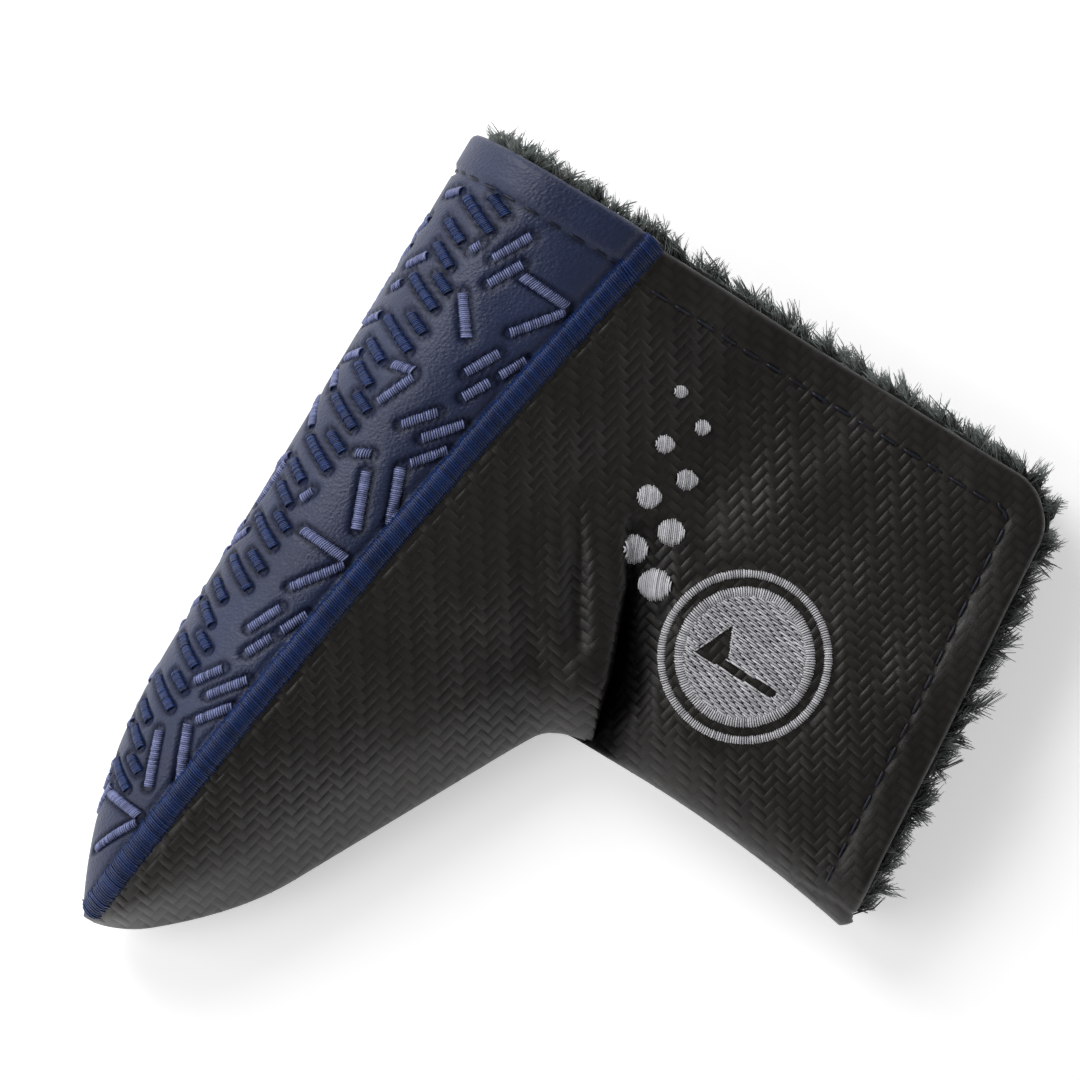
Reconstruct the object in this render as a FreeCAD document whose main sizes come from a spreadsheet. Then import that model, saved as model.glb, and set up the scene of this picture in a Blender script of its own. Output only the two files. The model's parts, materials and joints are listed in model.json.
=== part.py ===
import FreeCAD, Part
import math
import os
import Sketcher
from FreeCAD import Placement, Rotation, Vector

# A head cover for a blade putter, lying on its rear side.
# +X runs from the toe to the heel, +Y from the neck opening to the sole fold,
# +Z through the thickness, up from the face that the cover rests on.

doc = FreeCAD.newDocument("putter_head_cover")
sheet = doc.addObject("Spreadsheet::Sheet", "sizes")

DIMENSIONS = (
    ("toe_end", -79.3, "X of the toe tip"),
    ("heel_beyond", 92.0, "X past the heel, where the open sections run out"),
    ("sole_level", 67.5, "Y of the sole fold"),
    ("toe_drop", 11.5, "fall of the sole fold at the toe"),
    ("toe_drop_run", 50.0, "length over which the sole fold falls"),
    ("toe_round_run", 60.0, "length over which the toe closes"),
    ("sole_round", 18.0, "radius of the sole fold, half the greatest thickness"),
    ("edge_round", 8.5, "radius of the closed edges"),
    ("blade_edge_mid", 30.0, "Y of the blade edge 60 mm toeward of the middle"),
    ("blade_edge_slope", 0.53, "fall of the blade edge per mm toward the heel"),
    ("blade_edge_hook", 10.0, "rise of the blade edge at the toe tip"),
    ("blade_edge_end", 8.0, "X where the blade edge runs under the neck"),
    ("neck_inner", -6.5, "X of the closed neck edge at its narrowest"),
    ("neck_flare", 4.5, "how far that edge runs out at the neck opening"),
    ("neck_waist", -15.0, "Y of the narrowest neck"),
    ("neck_opening", -62.0, "Y where the neck ends"),
    ("neck_root", 34.0, "Y inside the blade where the neck volume starts"),
    ("crown_along", 24.0, "X of the crown of the neck"),
    ("crown_height", 27.0, "height of the crown at the blade"),
    ("crown_height_opening", 22.5, "height of the crown at the neck opening"),
    ("closure_along", 52.0, "X where the closed lips start"),
    ("closure_height", 19.9, "height over the closed lips"),
    ("leather", 1.2, "thickness of the leather"),
    ("foam", 2.5, "thickness of the foam"),
    ("lining", 3.5, "thickness of the fleece lining"),
    ("thread", 0.6, "height of the embroidery"),
    ("strip_thick", 2.3, "thickness of the hook strip and of the loop strip"),
    ("leather_heel", 75.6, "X of the leather hem at the sole"),
    ("leather_heel_corner", 73.6, "X of the leather hem at the corner"),
    ("leather_neck_corner", -54.3, "Y of the leather hem at the corner"),
    ("leather_neck_inner", -68.6, "Y of the leather hem line run out to the toe side"),
    ("foam_back", 2.0, "how far the foam ends inside the hem"),
    ("lining_heel", 79.0, "X of the lining at the heel"),
    ("lining_neck_corner", -55.5, "Y of the lining at the corner"),
    ("lining_neck_inner", -81.4, "Y of the lining line run out to the toe side"),
    ("corner_round", 8.0, "radius of the corner between heel and neck opening"),
    ("far", 110.0, "reach of the cutting regions"),
    ("tall", 60.0, "height of the cutting regions"),
    ("fold_along", 42.8, "X of the middle of the fold line"),
    ("fold_across", -23.8, "Y of the middle of the fold line"),
    ("fold_angle", 48.18, "direction of the fold line from X"),
    ("fold_gap", 0.5, "gap along the fold line"),
    ("border_centre_along", -283.6, "X of the centre of the border's long arc"),
    ("border_centre_across", -1687.6, "Y of the centre of the border's long arc"),
    ("border_round", 1755.0, "radius of the border's long arc"),
    ("border_wide", 4.0, "width of the satin border"),
    ("badge_along", 21.7, "X of the badge"),
    ("badge_across", -21.2, "Y of the badge"),
    ("badge_outer", 15.5, "outer radius of the badge ring"),
    ("badge_inner", 13.6, "inner radius of the badge ring"),
    ("badge_disc", 12.4, "radius of the badge disc"),
    ("pole_wide", 1.5, "width of the flagpole in the disc"),
    ("pole_long", 16.0, "length of the flagpole in the disc"),
    ("flag_long", 7.5, "length of the flag in the disc"),
    ("flag_deep", 6.5, "depth of the flag in the disc"),
    ("stitch_pitch", 4.7, "pitch of the hem stitches"),
    ("stitch_long", 3.3, "length of one hem stitch"),
    ("stitch_wide", 0.8, "width of one hem stitch"),
    ("hem_wide", 6.0, "distance from the leather edge to the hem stitches"),
    ("seam_start", -66.0, "X of the first seam stitch along the blade edge"),
    ("neck_seam_start", -8.0, "Y of the first seam stitch along the neck edge"),
    ("dot_along", 24.5, "X of the first dot"),
    ("dot_across", -1.0, "Y of the first dot"),
    ("dot_step_along", 9.4, "X from one dot to the next"),
    ("dot_step_across", 2.4, "Y from one dot to the next"),
    ("dot_row_along", 3.4, "X from one row of dots to the next"),
    ("dot_row_across", 6.6, "Y from one row of dots to the next"),
    ("dot_round", 2.9, "radius of the first dot"),
    ("dot_shrink", 0.5, "how much the radius falls from dot to dot"),
    ("stroke_wide", 1.9, "width of an embroidered stroke"),
    ("motif_along", -56.0, "X of the first motif"),
    ("motif_across", 8.2, "distance from the border to the first motifs"),
    ("motif_step", 16.5, "X from one motif to the next"),
    ("motif_row_along", 5.5, "X from one row of motifs to the next"),
    ("motif_row_across", 9.2, "Y from one row of motifs to the next"),
    ("motif_clear", 6.5, "least distance from a motif to the sole fold"),
    ("motif_end", 64.0, "X of the last motif at most"),
    ("sole_file_along", -34.0, "X of the first stroke of the file along the sole"),
    ("sole_file_across", 60.0, "Y of that file"),
    ("sole_file_step", 12.0, "pitch of that file"),
    ("sink", 0.05, "how far the rear face is pressed flat"),
    ("strip_along", 54.0, "X of the toeward side of the closure strips"),
    ("strip_across", -48.0, "Y of the neckward end of the closure strips"),
    ("strip_wide", 14.0, "width of the closure strips"),
    ("strip_long", 34.0, "length of the closure strips"),
    ("strip_clear", 1.0, "from an end of a strip to its stitching"),
)

for row, (alias, value, meaning) in enumerate(DIMENSIONS, start=1):
    sheet.set(f"A{row}", alias)
    sheet.set(f"B{row}", str(value))
    sheet.set(f"C{row}", meaning)
    sheet.setAlias(f"B{row}", alias)
doc.recompute()


def size(alias):
    return float(sheet.get(alias))


def bind(item, **expressions):
    for name, expression in expressions.items():
        item.setExpression(name.replace("__", "."), expression)


# ---------------------------------------------------------------- outer form

def fullness(along):
    """How far the blade section is opened, from 0 at the toe tip to 1."""
    reach = min(1.0, (along - size("toe_end")) / size("toe_round_run"))
    return math.sqrt(1.0 - (1.0 - reach) ** 2)


def sole_line(along):
    reach = (along - size("toe_end")) / size("toe_drop_run")
    return size("sole_level") - size("toe_drop") * (1.0 - min(1.0, reach)) ** 2.2


def blade_edge(along):
    hook = 1.0 - min(1.0, (along - size("toe_end")) / 25.0)
    fall = size("blade_edge_slope") * (min(along, size("blade_edge_end")) + 60.0)
    return size("blade_edge_mid") - fall + size("blade_edge_hook") * hook ** 2


def neck_edge(across):
    below = max(0.0, size("neck_waist") - across)
    span = size("neck_waist") - size("neck_opening")
    return size("neck_inner") - size("neck_flare") * (below / span) ** 2


def inner_radius(radius, depth):
    """A radius taken in by depth, which fades out instead of passing through zero."""
    parallel = 0.75 * radius
    if depth <= parallel:
        return radius - depth
    rest = radius - parallel
    return rest * math.exp(-(depth - parallel) / rest)


def on_circle(centre, radius, angle, along):
    across = centre[0] + radius * math.cos(angle)
    height = centre[1] + radius * math.sin(angle)
    return Vector(along, across, height)


def blade_section(along, depth):
    """A tapered oval across the blade: a large round at the sole, a small one at the edge."""
    full = fullness(along)
    large = size("sole_round") * full
    small = size("edge_round") * full
    rise = size("edge_round") * (1.0 - full)
    sole = (sole_line(along) - large, large + rise)
    edge = (blade_edge(along) + small, small + rise)
    apart = math.hypot(sole[0] - edge[0], sole[1] - edge[1])
    lean = math.atan2(sole[1] - edge[1], sole[0] - edge[0])
    turn = math.acos(-(large - small) / apart)
    large = inner_radius(large, depth)
    small = inner_radius(small, depth)
    front = lean + turn
    rear = lean - turn
    rear_side = (on_circle(edge, small, rear, along), on_circle(sole, large, rear, along))
    front_side = (on_circle(sole, large, front, along), on_circle(edge, small, front, along))
    round_sole = on_circle(sole, large, lean, along)
    round_edge = on_circle(edge, small, lean + math.pi, along)
    return Part.Wire([
        Part.LineSegment(*rear_side).toShape(),
        Part.Arc(rear_side[1], round_sole, front_side[0]).toShape(),
        Part.LineSegment(*front_side).toShape(),
        Part.Arc(front_side[1], round_edge, rear_side[0]).toShape(),
    ])


def neck_section(across, depth):
    """A pillow across the neck: round at the closed edge, a crown, then the closed lips."""
    radius = size("edge_round")
    small = inner_radius(radius, depth)
    middle = neck_edge(across) + radius
    run = (size("neck_root") - across) / (size("neck_root") - size("neck_opening"))
    crown = size("crown_height") + run * (size("crown_height_opening") - size("crown_height"))
    lips = size("closure_height")
    slope = math.atan2(crown - 2 * radius, size("crown_along") - middle)
    lean = math.pi / 2 + slope

    def point(along, height):
        return Vector(along, across, height)

    def edge_point(angle):
        return point(middle + small * math.cos(angle), radius + small * math.sin(angle))

    top = edge_point(lean)
    bottom = edge_point(-math.pi / 2)
    heel = size("heel_beyond")
    ridge = (
        top,
        point(size("crown_along"), crown - depth / math.cos(slope)),
        point(size("closure_along"), lips - depth),
        point(heel, lips - depth),
        point(heel, bottom.z),
        bottom,
    )
    sides = [Part.LineSegment(a, b).toShape() for a, b in zip(ridge, ridge[1:])]
    nose = Part.Arc(bottom, edge_point((lean + 1.5 * math.pi) / 2), top).toShape()
    return Part.Wire(sides + [nose])


def blade_volume(depth):
    start = size("toe_end") + 0.3 + 0.9 * max(0.0, depth)
    steps = 10
    reach = size("heel_beyond") - start
    stations = [start + reach * (step / steps) ** 1.8 for step in range(steps + 1)]
    return Part.makeLoft([blade_section(along, depth) for along in stations], True, True)


def neck_volume(depth):
    first = size("neck_root")
    last = size("neck_opening") - 16.0
    steps = 6
    stations = [first + (last - first) * step / steps for step in range(steps + 1)]
    return Part.makeLoft([neck_section(across, depth) for across in stations], True, True)


def volume(depth):
    return blade_volume(depth).fuse(neck_volume(depth)).removeSplitter()


def layer(name, outer_depth, inner_depth):
    """One closed coat of the cover, between two depths under the leather's face."""
    item = doc.addObject("Part::Feature", name)
    item.Shape = volume(outer_depth).cut(volume(inner_depth))
    item.Placement = Placement(Vector(0, 0, -size("sink")), Rotation())
    return item


under_leather = size("leather")
under_foam = under_leather + size("foam")
under_lining = under_foam + size("lining")

outer_coat = layer("outer_coat", 0.0, under_leather)
foam_coat = layer("foam_coat", under_leather, under_foam)
lining_coat = layer("lining_coat", under_foam, under_lining)
thread_coat = layer("thread_coat", -size("thread"), 0.0)
groove_layer = layer("groove_layer", 0.0, size("thread"))


# ------------------------------------------------------------ cutting regions

def region(name, corners):
    """A tall prism over a plan outline, whose corners are pairs of sheet expressions."""
    sketch = doc.addObject("Sketcher::SketchObject", name + "_outline")
    for index in range(len(corners)):
        start = Vector(index, index % 2, 0)
        end = Vector(index + 1, (index + 1) % 2, 0)
        sketch.addGeometry(Part.LineSegment(start, end))
    for index in range(len(corners)):
        following = (index + 1) % len(corners)
        sketch.addConstraint(Sketcher.Constraint("Coincident", index, 2, following, 1))
    for index, (along, across) in enumerate(corners):
        for kind, expression in (("DistanceX", along), ("DistanceY", across)):
            place = sketch.addConstraint(Sketcher.Constraint(kind, -1, 1, index, 1, 1.0))
            sketch.setExpression(f"Constraints[{place}]", expression)
    doc.recompute()
    prism = doc.addObject("Part::Extrusion", name)
    prism.Base = sketch
    prism.DirMode = "Custom"
    prism.Dir = Vector(0, 0, 1)
    prism.Solid = True
    bind(prism, LengthFwd="sizes.tall", LengthRev="sizes.thread * 2")
    doc.recompute()
    return prism


def rounded(prism, name, radius):
    """The prism with its upright edge nearest the heel and the neck opening rounded."""
    uprights = [
        (edge.CenterOfMass.x - edge.CenterOfMass.y, number)
        for number, edge in enumerate(prism.Shape.Edges, start=1)
        if abs(edge.Vertexes[0].Z - edge.Vertexes[-1].Z) > 1.0
    ]
    corner = max(uprights)[1]
    item = doc.addObject("Part::Fillet", name)
    item.Base = prism
    item.Edges = [(corner, radius, radius)]
    return item


def box(name, **expressions):
    item = doc.addObject("Part::Box", name)
    bind(item, **expressions)
    return item


def cylinder(name, **expressions):
    item = doc.addObject("Part::Cylinder", name)
    bind(item, Height="sizes.tall", Placement__Base__z="-sizes.thread * 2", **expressions)
    return item


def common(name, base, tool):
    item = doc.addObject("Part::Common", name)
    item.Base = base
    item.Tool = tool
    return item


def cut(name, base, tool):
    item = doc.addObject("Part::Cut", name)
    item.Base = base
    item.Tool = tool
    return item


def group(name, members):
    item = doc.addObject("Part::Compound", name)
    item.Links = members
    return item


table = box(
    "table", Length="sizes.far * 2", Width="sizes.far * 2", Height="sizes.thread * 2",
    Placement__Base__x="-sizes.far", Placement__Base__y="-sizes.far",
    Placement__Base__z="-sizes.thread * 2")
leather_coat = cut("leather_coat", outer_coat, table)
groove_coat = cut("groove_coat", groove_layer, table)

leather_plan = rounded(region("leather_corner", (
    ("-sizes.far", "sizes.far"),
    ("sizes.leather_heel", "sizes.far"),
    ("sizes.leather_heel_corner", "sizes.leather_neck_corner"),
    ("-sizes.far", "sizes.leather_neck_inner"),
)), "leather_plan", size("corner_round"))
foam_plan = rounded(region("foam_corner", (
    ("-sizes.far", "sizes.far"),
    ("sizes.leather_heel - sizes.foam_back", "sizes.far"),
    ("sizes.leather_heel_corner - sizes.foam_back", "sizes.leather_neck_corner + sizes.foam_back"),
    ("-sizes.far", "sizes.leather_neck_inner + sizes.foam_back"),
)), "foam_plan", size("corner_round"))
lining_plan = rounded(region("lining_corner", (
    ("-sizes.far", "sizes.far"),
    ("sizes.lining_heel", "sizes.far"),
    ("sizes.lining_heel", "sizes.lining_neck_corner"),
    ("-sizes.far", "sizes.lining_neck_inner"),
)), "lining_plan", size("corner_round"))

front_space = box(
    "front_space", Length="sizes.far * 2", Width="sizes.far * 2", Height="sizes.tall",
    Placement__Base__x="-sizes.far", Placement__Base__y="-sizes.far",
    Placement__Base__z="sizes.edge_round")
main_space = box(
    "main_space", Length="sizes.far * 4", Width="sizes.far * 2", Height="sizes.tall",
    Placement__Rotation__Angle="sizes.fold_angle",
    Placement__Base__z="sizes.edge_round",
    Placement__Base__x="sizes.fold_along - 2 * sizes.far * cos(sizes.fold_angle * 1deg)"
                       " - 0.5 * sizes.fold_gap * sin(sizes.fold_angle * 1deg)",
    Placement__Base__y="sizes.fold_across - 2 * sizes.far * sin(sizes.fold_angle * 1deg)"
                       " + 0.5 * sizes.fold_gap * cos(sizes.fold_angle * 1deg)")
flap_space = box(
    "flap_space", Length="sizes.far * 4", Width="sizes.far * 2", Height="sizes.tall",
    Placement__Rotation__Angle="sizes.fold_angle",
    Placement__Base__z="sizes.edge_round",
    Placement__Base__x="sizes.fold_along - 2 * sizes.far * cos(sizes.fold_angle * 1deg)"
                       " + (0.5 * sizes.fold_gap + 2 * sizes.far) * sin(sizes.fold_angle * 1deg)",
    Placement__Base__y="sizes.fold_across - 2 * sizes.far * sin(sizes.fold_angle * 1deg)"
                       " - (0.5 * sizes.fold_gap + 2 * sizes.far) * cos(sizes.fold_angle * 1deg)")
raised = common("raised_thread", thread_coat, front_space)
side_space = cylinder(
    "side_space", Radius="sizes.border_round",
    Placement__Base__x="sizes.border_centre_along",
    Placement__Base__y="sizes.border_centre_across")


def ring(name, outer, inner, along, across):
    """An upright tube, from the outer radius to the inner one."""
    place = dict(Placement__Base__x=along, Placement__Base__y=across)
    wide = cylinder(name + "_outer", Radius=outer, **place)
    narrow = cylinder(name + "_inner", Radius=inner, **place)
    return cut(name, wide, narrow)


border_plan = ring(
    "border_plan",
    "sizes.border_round + sizes.border_wide / 2", "sizes.border_round - sizes.border_wide / 2",
    "sizes.border_centre_along", "sizes.border_centre_across")


def dash(name, along, across, turn, length, wide):
    """An upright block over one stitch or one embroidered stroke."""
    item = doc.addObject("Part::Box", name)
    bind(item, Height="sizes.tall", Length=length, Width=wide)
    doc.recompute([item])
    middle = Vector(item.Length.Value / 2, item.Width.Value / 2, 0)
    turned = Rotation(Vector(0, 0, 1), turn)
    item.Placement = Placement(
        Vector(along, across, -2 * size("thread")) - turned.multVec(middle), turned)
    return item


def run_of_stitches(name, start, end):
    """Blocks over a straight run of stitches, from start to end."""
    span = math.hypot(end[0] - start[0], end[1] - start[1])
    turn = math.degrees(math.atan2(end[1] - start[1], end[0] - start[0]))
    count = int(span / size("stitch_pitch"))
    stitches = []
    for index in range(count):
        part = (index + 0.5) / count
        stitches.append(dash(
            f"{name}_{index}", start[0] + part * (end[0] - start[0]),
            start[1] + part * (end[1] - start[1]), turn,
            "sizes.stitch_long", "sizes.stitch_wide"))
    return stitches


# ------------------------------------------------------------------- pieces

pieces = []


def piece(name, item):
    item.Label = name
    pieces.append(item)
    return item


def threads_on(name, plan):
    """Raised thread on the front and flush thread in the rear, over one plan."""
    front = common(name + "_front", raised, plan)
    rear = cut(name + "_rear", common(name + "_sunk", groove_coat, plan), front_space)
    return front, rear


def border_across(along):
    reach = along - size("border_centre_along")
    return size("border_centre_across") + math.sqrt(size("border_round") ** 2 - reach ** 2)


def heel_hem(across):
    """X of the hem stitches along the heel."""
    rise = (size("far") - across) / (size("far") - size("leather_neck_corner"))
    edge = size("leather_heel") + rise * (size("leather_heel_corner") - size("leather_heel"))
    return edge - size("hem_wide")


def neck_hem(along):
    """Y of the hem stitches along the neck opening."""
    corner = size("leather_heel_corner")
    rise = (corner - along) / (corner + size("far"))
    edge = size("leather_neck_corner") + rise * (
        size("leather_neck_inner") - size("leather_neck_corner"))
    return edge + size("hem_wide")


def hem_along_heel(name, start, end):
    return run_of_stitches(name, (heel_hem(start), start), (heel_hem(end), end))


def hem_along_neck(name, start, end):
    return run_of_stitches(name, (start, neck_hem(start)), (end, neck_hem(end)))


sole_hem = group("sole_hem", hem_along_heel("sole_hem_stitch", 61.0, 34.5))
front_hem = group("front_hem", (
    hem_along_heel("front_heel_stitch", 28.0, 7.5) + hem_along_neck("front_neck_stitch", 12.5, -4.0)))
flap_hem = group("flap_hem", (
    hem_along_heel("flap_heel_stitch", 2.5, -45.5) + hem_along_neck("flap_neck_stitch", 61.5, 19.0)))
sole_hem_front, sole_hem_rear = threads_on("sole_hem_thread", sole_hem)
front_hem_thread = common("front_hem_thread", raised, front_hem)
flap_hem_thread = common("flap_hem_thread", raised, flap_hem)
rear_hem = group("rear_hem", [front_hem, flap_hem])
rear_hem_thread = cut(
    "rear_hem_thread", common("rear_hem_sunk", groove_coat, rear_hem), front_space)
border_front, border_rear = threads_on("border", common("border_end", border_plan, leather_plan))

seam_slab = box(
    "seam_slab", Length="sizes.far * 2", Width="sizes.far * 2", Height="sizes.stitch_long",
    Placement__Base__x="-sizes.far", Placement__Base__y="-sizes.far",
    Placement__Base__z="sizes.edge_round - sizes.stitch_long / 2")


def seam_thread(name, stitches):
    across_seam = common(name + "_slab", leather_coat, seam_slab)
    return common(name + "_rows", across_seam, group(name + "_dashes", stitches))


BLADE_DASHES = 12
NECK_DASHES = 11
blade_dashes = []
for index in range(BLADE_DASHES):
    along = size("seam_start") + size("stitch_pitch") * index
    blade_dashes.append(dash(
        f"blade_dash_{index}", along, blade_edge(along), 90.0,
        "sizes.edge_round", "sizes.stitch_wide"))
neck_dashes = []
for index in range(NECK_DASHES):
    across = size("neck_seam_start") - size("stitch_pitch") * index
    neck_dashes.append(dash(
        f"neck_dash_{index}", neck_edge(across), across, 0.0,
        "sizes.edge_round", "sizes.stitch_wide"))
blade_seam = seam_thread("blade_seam", blade_dashes)
neck_seam = seam_thread("neck_seam", neck_dashes)
seams = group("seams", [blade_seam, neck_seam])

leather = common("leather_trimmed", leather_coat, leather_plan)
side_leather = common("side_leather", leather, side_space)
upper_leather = cut("upper_leather", common("upper_side", side_leather, front_space), seams)
lower_leather = cut("lower_leather", cut("lower_side", side_leather, front_space), seams)
lower_threads = group("lower_threads", [rear_hem_thread, border_rear])
sole_threads = group("sole_threads", [sole_hem_rear, border_rear])
piece("front_panel", common("front_leather", upper_leather, main_space))
piece("flap_panel", common("flap_leather", upper_leather, flap_space))
piece("rear_panel", cut("rear_leather", lower_leather, lower_threads))
piece("sole_panel", cut("sole_leather", cut("sole_side", leather, side_space), sole_threads))

for kind, coat, plan in (("foam", foam_coat, foam_plan), ("lining", lining_coat, lining_plan)):
    sheet_of = common(kind + "_trimmed", coat, plan)
    side = common(kind + "_side", sheet_of, side_space)
    upper = common(kind + "_upper", side, front_space)
    piece("front_" + kind, common(kind + "_front", upper, main_space))
    piece("flap_" + kind, common(kind + "_flap", upper, flap_space))
    piece("rear_" + kind, cut(kind + "_rear", side, front_space))
    piece("sole_" + kind, cut(kind + "_sole", sheet_of, side_space))

piece("front_border", border_front)
piece("rear_border", border_rear)
piece("sole_hem_stitching", group("sole_hem_threads", [sole_hem_front, sole_hem_rear]))
piece("front_hem_stitching", front_hem_thread)
piece("flap_hem_stitching", flap_hem_thread)
piece("rear_hem_stitching", rear_hem_thread)
piece("blade_seam_thread", blade_seam)
piece("neck_seam_thread", neck_seam)

# ---- the closure: a hook strip under the flap, a loop strip on the rear lining

strip_faces = {
    "hook": f"sizes.closure_height - sizes.sink - {under_lining} - sizes.strip_thick",
    "loop": f"sizes.edge_round - sizes.sink - {inner_radius(size('edge_round'), under_lining)}",
}
for kind, base in strip_faces.items():
    strip = box(
        kind + "_blank", Length="sizes.strip_wide", Width="sizes.strip_long",
        Height="sizes.strip_thick", Placement__Base__z=base,
        Placement__Base__x="sizes.strip_along", Placement__Base__y="sizes.strip_across")
    rows = []
    inset = 2 * size("stitch_wide")
    for side, along in (
        ("toeward", size("strip_along") + inset),
        ("heelward", size("strip_along") + size("strip_wide") - inset),
    ):
        rows += run_of_stitches(
            f"{kind}_{side}", (along, size("strip_across") + size("strip_clear")),
            (along, size("strip_across") + size("strip_long") - size("strip_clear")))
    stitches = group(kind + "_stitches", rows)
    piece(kind + "_strip", cut(kind + "_tape", strip, stitches))
    piece(kind + "_strip_stitching", common(kind + "_thread", strip, stitches))

# ---- the embroidery: a plain round badge, graded dots and bands of plain strokes

badge_place = dict(
    Placement__Base__x="sizes.badge_along", Placement__Base__y="sizes.badge_across")
badge_ring_plan = ring(
    "badge_ring_plan", "sizes.badge_outer", "sizes.badge_inner",
    "sizes.badge_along", "sizes.badge_across")
disc = cylinder("badge_disc_plan", Radius="sizes.badge_disc", **badge_place)
pole = box(
    "pole_plan", Length="sizes.pole_wide", Width="sizes.pole_long", Height="sizes.tall",
    Placement__Base__x="sizes.badge_along - sizes.flag_long / 2",
    Placement__Base__y="sizes.badge_across - sizes.pole_long / 2")
flag = region("flag_plan", (
    ("sizes.badge_along - sizes.flag_long / 2", "sizes.badge_across + sizes.pole_long / 2"),
    ("sizes.badge_along + sizes.flag_long / 2",
     "sizes.badge_across + sizes.pole_long / 2 - sizes.flag_deep / 2"),
    ("sizes.badge_along - sizes.flag_long / 2",
     "sizes.badge_across + sizes.pole_long / 2 - sizes.flag_deep"),
))
pennant = group("pennant", [pole, flag])
piece("badge_ring", common("ring_thread", raised, badge_ring_plan))
piece("badge_fill", cut("fill_thread", common("disc_thread", raised, disc), pennant))

DOT_COLUMNS = 4
DOT_ROWS = 2


def dots():
    """Two slanting rows of dots that shrink toward the heel."""
    for row in range(DOT_ROWS):
        for column in range(DOT_COLUMNS):
            yield cylinder(
                f"dot_{row}_{column}",
                Radius=f"sizes.dot_round - sizes.dot_shrink * {column + row / 2}",
                Placement__Base__x="sizes.dot_along"
                f" + sizes.dot_step_along * {column} + sizes.dot_row_along * {row}",
                Placement__Base__y="sizes.dot_across"
                f" + sizes.dot_step_across * {column} + sizes.dot_row_across * {row}")


piece("dot_embroidery", common("dot_threads", raised, group("dot_plan", list(dots()))))

CHEVRON = ((-3.6, -4.4, 3.0, 0.0), (3.0, 1.3, -3.6, 5.6))
BARS = ((-3.4, -4.6, 0.2, 4.6), (0.8, -4.6, 4.4, 4.6))
DASHES = ((-4.4, -3.2, 1.0, -3.2), (-1.7, 0.0, 4.4, 0.0), (-3.6, 3.2, 1.7, 3.2))
BROKEN = ((-5.0, -1.6, -1.1, -1.6), (1.1, -1.6, 5.0, -1.6), (-2.7, 1.8, 2.7, 1.8))
MOTIFS = (CHEVRON, BARS, DASHES, BROKEN)
MOTIF_COLUMNS = 8
MOTIF_ROWS = 3
MOTIF_TURNS = (-35.0, 35.0, 105.0)
FILE_STROKES = 9
FILE_TURN = -55.0


def strokes(name, motif, along, across, turn):
    """Blocks over the strokes of one motif, given as the ends of its strokes."""
    bearing = math.radians(turn)
    for index, (x1, y1, x2, y2) in enumerate(motif):
        middle = ((x1 + x2) / 2, (y1 + y2) / 2)
        reach = math.hypot(x2 - x1, y2 - y1)
        lean = math.degrees(math.atan2(y2 - y1, x2 - x1))
        item = dash(
            f"{name}_{index}",
            along + middle[0] * math.cos(bearing) - middle[1] * math.sin(bearing),
            across + middle[0] * math.sin(bearing) + middle[1] * math.cos(bearing),
            turn + lean, f"{reach} * 1mm", "sizes.stroke_wide")
        yield item


def scattered_strokes():
    """Motifs in slanting files between the border and the sole fold."""
    for column in range(MOTIF_COLUMNS):
        for row in range(MOTIF_ROWS):
            along = (size("motif_along") + size("motif_step") * column
                     + size("motif_row_along") * row)
            across = (border_across(along) + size("motif_across")
                      + size("motif_row_across") * row)
            clear = across < sole_line(along) - size("motif_clear")
            if clear and along < size("motif_end"):
                motif = MOTIFS[(column + 2 * row) % len(MOTIFS)]
                turn = MOTIF_TURNS[(column + row) % len(MOTIF_TURNS)]
                yield from strokes(f"stroke_{column}_{row}", motif, along, across, turn)


def sole_strokes():
    """A file of slanting strokes along the sole fold."""
    for index in range(FILE_STROKES):
        along = size("sole_file_along") + size("sole_file_step") * index
        yield from strokes(
            f"sole_stroke_{index}", CHEVRON[:1], along, size("sole_file_across"), FILE_TURN)


navy_threads = common("navy_threads", raised, group("navy_plan", list(sole_strokes())))
light_threads = common("light_threads", raised, group("light_plan", list(scattered_strokes())))
over_light = group("over_light", [navy_threads, border_front])
piece("navy_embroidery", navy_threads)
piece("light_embroidery", cut("clear_light_threads", light_threads, over_light))

doc.recompute()

# ------------------------------------------------------------- check and save

for item in doc.Objects:
    if "Invalid" in item.State or "Error" in item.State:
        raise RuntimeError(f"{item.Name} failed: {item.State}")
for item in pieces:
    shape = item.Shape
    if shape.isNull() or not shape.isValid() or not shape.Solids:
        raise RuntimeError(f"{item.Label} has no good shape")

os.makedirs("parts", exist_ok=True)
for item in pieces:
    item.Shape.exportStep(f"parts/{item.Label}.step")
    bounds = item.Shape.optimalBoundingBox()
    print(f"{item.Label}: {len(item.Shape.Solids)} solids, {item.Shape.Volume:.0f} mm3, "
          f"X {bounds.XMin:.2f} to {bounds.XMax:.2f}, Y {bounds.YMin:.2f} to {bounds.YMax:.2f}, "
          f"Z {bounds.ZMin:.2f} to {bounds.ZMax:.2f}")
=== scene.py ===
import json
import math

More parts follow.
